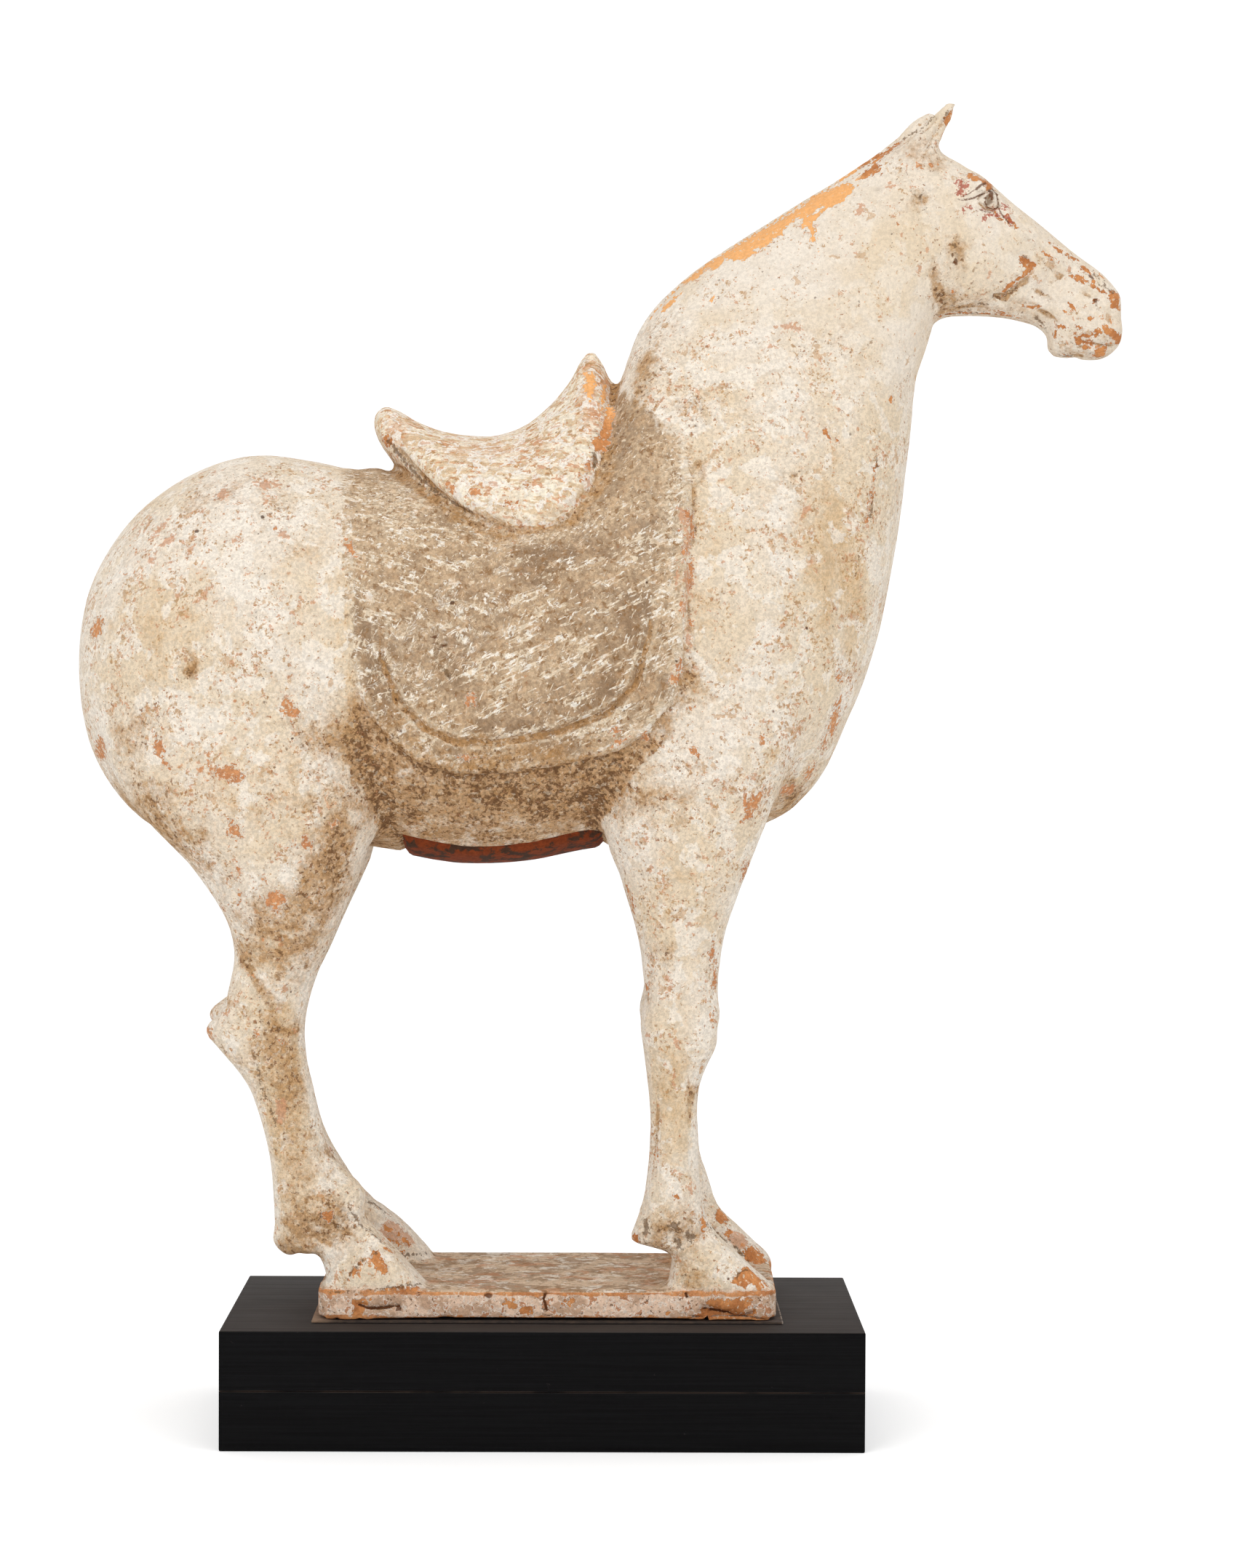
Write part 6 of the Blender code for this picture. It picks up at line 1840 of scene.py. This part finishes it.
def pad_sheet(name, low, high, wander):
    """The thin pad, cut by hand so that its edges wander a little."""
    shape = bmesh.new()
    outline = []
    corners = [(low[0], low[1]), (high[0], low[1]), (high[0], high[1]), (low[0], high[1])]
    for i, (start, end) in enumerate(zip(corners, corners[1:] + corners[:1])):
        steps = (PAD_STEPS_LONG, PAD_STEPS_DEEP)[i % 2]
        for k in range(steps):
            t = k / steps
            x = start[0] + (end[0] - start[0]) * t
            y = start[1] + (end[1] - start[1]) * t
            inward = wander * (0.5 + 0.5 * noise.noise(Vector((x * 60, y * 60, 3.0))))
            x += inward * (1 if x < 0 else -1) * (i % 2 == 1 or k == 0)
            y += inward * (1 if y < 0 else -1) * (i % 2 == 0 or k == 0)
            outline.append((x, y))
    lower, upper = ([shape.verts.new((x, y, level)) for x, y in outline] for level in (low[2], high[2]))
    shape.faces.new(list(reversed(lower)))
    shape.faces.new(upper)
    skirt(shape, lower, upper)
    bmesh.ops.recalc_face_normals(shape, faces=shape.faces[:])
    bmesh.ops.triangulate(shape, faces=[f for f in shape.faces if len(f.verts) > 4])
    return as_object(name, shape)


def bowl(radius, height, rings):
    """A wide floor that curves up all round into a wall."""
    shape = bmesh.new()
    profile = [(0.0, 0.0), (radius * 0.72, 0.0)]
    for i in range(1, rings + 1):
        turn = math.pi / 2 * i / rings
        profile.append((radius * (0.72 + 0.28 * math.sin(turn)), height * (1 - math.cos(turn))))
    spun = [shape.verts.new((x, 0.0, z)) for x, z in profile]
    edges = [shape.edges.new((a, b)) for a, b in zip(spun, spun[1:])]
    bmesh.ops.spin(shape, geom=spun + edges, cent=(0, 0, 0), axis=(0, 0, 1), angle=2 * math.pi,
                   steps=96, use_merge=True)
    bmesh.ops.remove_doubles(shape, verts=shape.verts[:], dist=1e-5)
    bmesh.ops.recalc_face_normals(shape, faces=shape.faces[:])
    floor = as_object("pale_floor", shape)
    floor.data.shade_smooth()
    return floor


def soft_light(name, place, target, size, power):
    """A large square light that faces a point and isn't seen itself."""
    lamp = bpy.data.lights.new(name, "AREA")
    lamp.shape = "SQUARE"
    lamp.size = size
    lamp.energy = power
    light = placed(name, lamp)
    light.location = place
    light.rotation_euler = (Vector(target) - Vector(place)).to_track_quat("-Z", "Y").to_euler()
    light.visible_camera = False


def photo_camera():
    """The camera at the photograph's place and angle."""
    lens = bpy.data.cameras.new("photo_camera")
    lens.sensor_fit = "VERTICAL"
    lens.sensor_width = LONG_SIDE
    lens.sensor_height = LONG_SIDE
    lens.lens = FOCAL_PIXELS / PHOTO_HEIGHT * LONG_SIDE
    lens.clip_start = 0.01
    lens.clip_end = 50.0
    camera = placed("photo_camera", lens)
    right, up, forward = (Vector(axis) for axis in camera_axes())
    turn = Matrix((right, up, -forward)).transposed()
    camera.matrix_world = Matrix.Translation(Vector(CAMERA_PLACE)) @ turn.to_4x4()
    bpy.context.scene.camera = camera


# ---- settings ----


def colour_property(name, red, green, blue):
    """A colour that the user can change."""
    return FloatVectorProperty(name=name, description=f"Colour of the {name.lower()}", subtype="COLOR",
                               size=3, min=0.0, max=1.0, default=srgb(red, green, blue))


class HorseSizes(bpy.types.PropertyGroup):
    """Sizes of the horse's skin and modelling."""
    skin_size: FloatProperty(name="Skin size", description="Spacing of the skin before it is thinned out",
                             default=0.0015, min=0.0011, max=0.004, unit="LENGTH")
    triangles: IntProperty(name="Triangles", description="Triangles left before the fine areas are split",
                           default=68000, min=20000, max=180000)
    cloth_thickness: FloatProperty(name="Cloth thickness", description="How far the cloth stands proud",
                                   default=0.0019, min=0.0, max=0.004, unit="LENGTH")
    unevenness: FloatProperty(name="Unevenness", description="Depth of the waves left by hand modelling",
                              default=0.00035, min=0.0, max=0.002, unit="LENGTH")


class ClayLooks(bpy.types.PropertyGroup):
    """Colours of the clay, slip, paint and dirt."""
    slip_colour: colour_property("Slip", 236, 223, 206)
    chalk_colour: colour_property("Chalk", 246, 237, 224)
    cream_colour: colour_property("Cream slip", 230, 211, 184)
    ochre_colour: colour_property("Ochre slip", 212, 178, 134)
    fleck_colour: colour_property("Tan flecks", 204, 168, 130)
    peach_colour: colour_property("Peach clay", 208, 148, 106)
    clay_colour: colour_property("Clay", 214, 146, 90)
    clay_dark_colour: colour_property("Dark clay", 188, 120, 70)
    # lighter than the clay: painted light in the crest's slot
    crest_clay_painted_light_colour: colour_property("Clay of the crest", 244, 180, 116)
    rubbed_colour: colour_property("Rubbed clay", 206, 152, 116)
    wash_colour: colour_property("Grey wash", 206, 177, 143)
    wash_dark_colour: colour_property("Dark wash", 146, 117, 88)
    saddle_colour: colour_property("Saddle slip", 246, 234, 212)
    # dirt, also thickened in hollows and underneath as painted shade
    dirt_and_shade_colour: colour_property("Dirt", 182, 138, 88)
    # crust, also the dark line in the cloth's groove, dirt and painted shade
    crust_colour: colour_property("Crust", 144, 106, 66)
    stipple_colour: colour_property("Stipple", 112, 78, 50)
    speck_colour: colour_property("Specks", 84, 56, 38)
    # stains, also used for painted shade in creases, hollows and on the saddle's rear face
    stain_colour: colour_property("Stains", 112, 84, 56)
    red_colour: colour_property("Red paint", 176, 88, 66)
    # ink, also painted into small pits as shade
    ink_colour: colour_property("Ink", 104, 62, 34)
    # the strip's clay darkened with painted shade
    strip_clay_and_shade_colour: colour_property("Belly strip", 130, 60, 28)
    strip_dirt_colour: colour_property("Belly strip dirt", 74, 50, 36)
    slab_top_colour: colour_property("Slab top", 214, 188, 160)
    slab_streak_colour: colour_property("Slab streaks", 176, 148, 120)
    slab_side_colour: colour_property("Slab side", 236, 204, 178)
    slab_stain_colour: colour_property("Slab side stain", 204, 168, 140)
    slab_rim_width: FloatProperty(name="Slab rim", description="Width of the bare rim round the slab's top",
                                  default=0.0009, min=0.0, max=0.003, unit="LENGTH")


class PlinthLooks(bpy.types.PropertyGroup):
    """Sizes and colours of the plinth and its pad."""
    edge_round: FloatProperty(name="Edge round", description="Rounding of the boards' outer edges",
                              default=0.0006, min=0.0001, max=0.003, unit="LENGTH")
    joint_level: FloatProperty(name="Joint level", description="Height of the joint between the boards",
                               default=0.0208, min=0.005, max=0.04, unit="LENGTH")
    pad_front: FloatProperty(name="Pad front", description="Where the pad's front edge lies",
                             default=0.0837, min=0.05, max=0.1, unit="LENGTH")
    wood_colour: colour_property("Black stain", 16, 16, 17)
    wood_fibre_colour: colour_property("Wood fibres", 10, 9, 10)
    # dust, and painted sheen on the boards' top
    dust_and_sheen_colour: colour_property("Settled dust", 66, 60, 57)
    seam_colour: colour_property("Joint", 72, 60, 52)
    pad_colour: colour_property("Pad", 150, 122, 98)
    # the pad's dark front and painted shadow of the slab
    pad_dark_and_shadow_colour: colour_property("Pad under the toes", 58, 48, 42)
    pad_edge_colour: colour_property("Pad edge", 150, 136, 124)
    # blotches on the pad: stain and painted shadow of the slab
    stain_colour: colour_property("Pad stain", 96, 76, 60)


class StageLooks(bpy.types.PropertyGroup):
    """Size, colour and light of the studio."""
    radius: FloatProperty(name="Radius", description="Radius of the pale floor and its wall",
                          default=3.6, min=2.5, max=10.0, unit="LENGTH")
    floor_colour: colour_property("Floor", 252, 252, 252)
    glow: FloatProperty(name="Backdrop glow",
                        description="Light that the backdrop adds for the camera alone",
                        default=0.32, min=0.0, max=2.0)
    sky_strength: FloatProperty(name="Sky strength", description="Strength of the even light from all round",
                                default=0.74, min=0.0, max=5.0)
    left_power: FloatProperty(name="Left light", description="Power of the soft light on the left",
                              default=7.0, min=0.0, max=500.0, unit="POWER")
    right_power: FloatProperty(name="Right light", description="Power of the soft light on the right",
                               default=4.0, min=0.0, max=500.0, unit="POWER")
    top_power: FloatProperty(name="Top light", description="Power of the soft light above",
                             default=3.0, min=0.0, max=500.0, unit="POWER")


# ---- operators and panel ----


class OBJECT_OT_build_painted_horse(bpy.types.Operator):
    """Build the horse with its saddle, cloth and slab"""
    bl_idname = "object.build_painted_horse"
    bl_label = "Painted horse"

    def execute(self, context):
        body = build_horse(context.scene.horse_sizes)
        body.data.materials.append(painted_clay(context.scene.clay_looks))
        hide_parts("earthenware_horse")
        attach(body, "root")
        return {"FINISHED"}


class OBJECT_OT_build_plinth_boards(bpy.types.Operator):
    """Build the plinth's two boards"""
    bl_idname = "object.build_plinth_boards"
    bl_label = "Plinth boards"

    def execute(self, context):
        looks = context.scene.plinth_looks
        wood = stained_wood(looks)
        for name, node, above, below in (("plinth_lower", "plinth_lower_board", True, False),
                                         ("plinth_upper", "plinth_upper_board", False, True)):
            low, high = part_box(node)
            body = board(name, low, high, looks.edge_round, above, below)
            body.data.materials.append(wood)
            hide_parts(node)
            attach(body, "root")
        return {"FINISHED"}


class OBJECT_OT_build_pad(bpy.types.Operator):
    """Build the thin pad under the slab"""
    bl_idname = "object.build_pad"
    bl_label = "Mounting pad"

    def execute(self, context):
        low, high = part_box("mounting_pad")
        body = pad_sheet("brown_sheet", low, high, 0.0006)
        body.data.materials.append(pad_finish(context.scene.plinth_looks))
        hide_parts("mounting_pad")
        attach(body, "root")
        return {"FINISHED"}


class SCENE_OT_build_pale_studio(bpy.types.Operator):
    """Build the floor, lights and camera"""
    bl_idname = "scene.build_pale_studio"
    bl_label = "Pale studio"

    def execute(self, context):
        looks = context.scene.stage_looks
        floor = bowl(looks.radius, looks.radius * 0.5, 16)
        floor.data.materials.append(plain_floor(looks))
        target = (0.0, 0.0, 0.24)
        soft_light("left_light", (-0.9, -1.5, 1.1), target, 0.9, looks.left_power)
        soft_light("right_light", (1.2, -1.5, 0.7), target, 0.9, looks.right_power)
        soft_light("top_light", (0.1, -0.3, 1.7), target, 1.2, looks.top_power)
        world = bpy.data.worlds.new("even_sky")
        world.use_nodes = True
        sky = world.node_tree.nodes["Background"]
        sky.inputs["Color"].default_value = (1.0, 1.0, 1.0, 1.0)
        sky.inputs["Strength"].default_value = looks.sky_strength
        context.scene.world = world
        context.scene.view_settings.view_transform = "Standard"
        photo_camera()
        return {"FINISHED"}


class VIEW3D_PT_painted_horse(bpy.types.Panel):
    """Buttons and settings for the horse, its plinth and the studio"""
    bl_label = "Painted earthenware horse"
    bl_idname = "VIEW3D_PT_painted_horse"
    bl_space_type = "VIEW_3D"
    bl_region_type = "UI"
    bl_category = "Earthenware"

    def draw(self, context):
        scene = context.scene
        blocks = (
            (OBJECT_OT_build_painted_horse, (scene.horse_sizes, scene.clay_looks)),
            (OBJECT_OT_build_plinth_boards, (scene.plinth_looks,)),
            (OBJECT_OT_build_pad, ()),
            (SCENE_OT_build_pale_studio, (scene.stage_looks,)),
        )
        for operator, groups in blocks:
            box = self.layout.box()
            box.operator(operator.bl_idname)
            for group in groups:
                for name in group.bl_rna.properties.keys():
                    if name not in {"rna_type", "name"}:
                        box.prop(group, name)


CLASSES = (
    HorseSizes,
    ClayLooks,
    PlinthLooks,
    StageLooks,
    OBJECT_OT_build_painted_horse,
    OBJECT_OT_build_plinth_boards,
    OBJECT_OT_build_pad,
    SCENE_OT_build_pale_studio,
    VIEW3D_PT_painted_horse,
)


def register():
    """Register the classes and their settings."""
    for item in CLASSES:
        bpy.utils.register_class(item)
    bpy.types.Scene.horse_sizes = PointerProperty(type=HorseSizes)
    bpy.types.Scene.clay_looks = PointerProperty(type=ClayLooks)
    bpy.types.Scene.plinth_looks = PointerProperty(type=PlinthLooks)
    bpy.types.Scene.stage_looks = PointerProperty(type=StageLooks)


def unregister():
    """Remove the settings and the classes."""
    del bpy.types.Scene.stage_looks
    del bpy.types.Scene.plinth_looks
    del bpy.types.Scene.clay_looks
    del bpy.types.Scene.horse_sizes
    for item in reversed(CLASSES):
        bpy.utils.unregister_class(item)


def main():
    """Build everything in order."""
    register()
    bpy.ops.object.build_painted_horse()
    bpy.ops.object.build_plinth_boards()
    bpy.ops.object.build_pad()
    bpy.ops.scene.build_pale_studio()


if __name__ == "__main__":
    main()
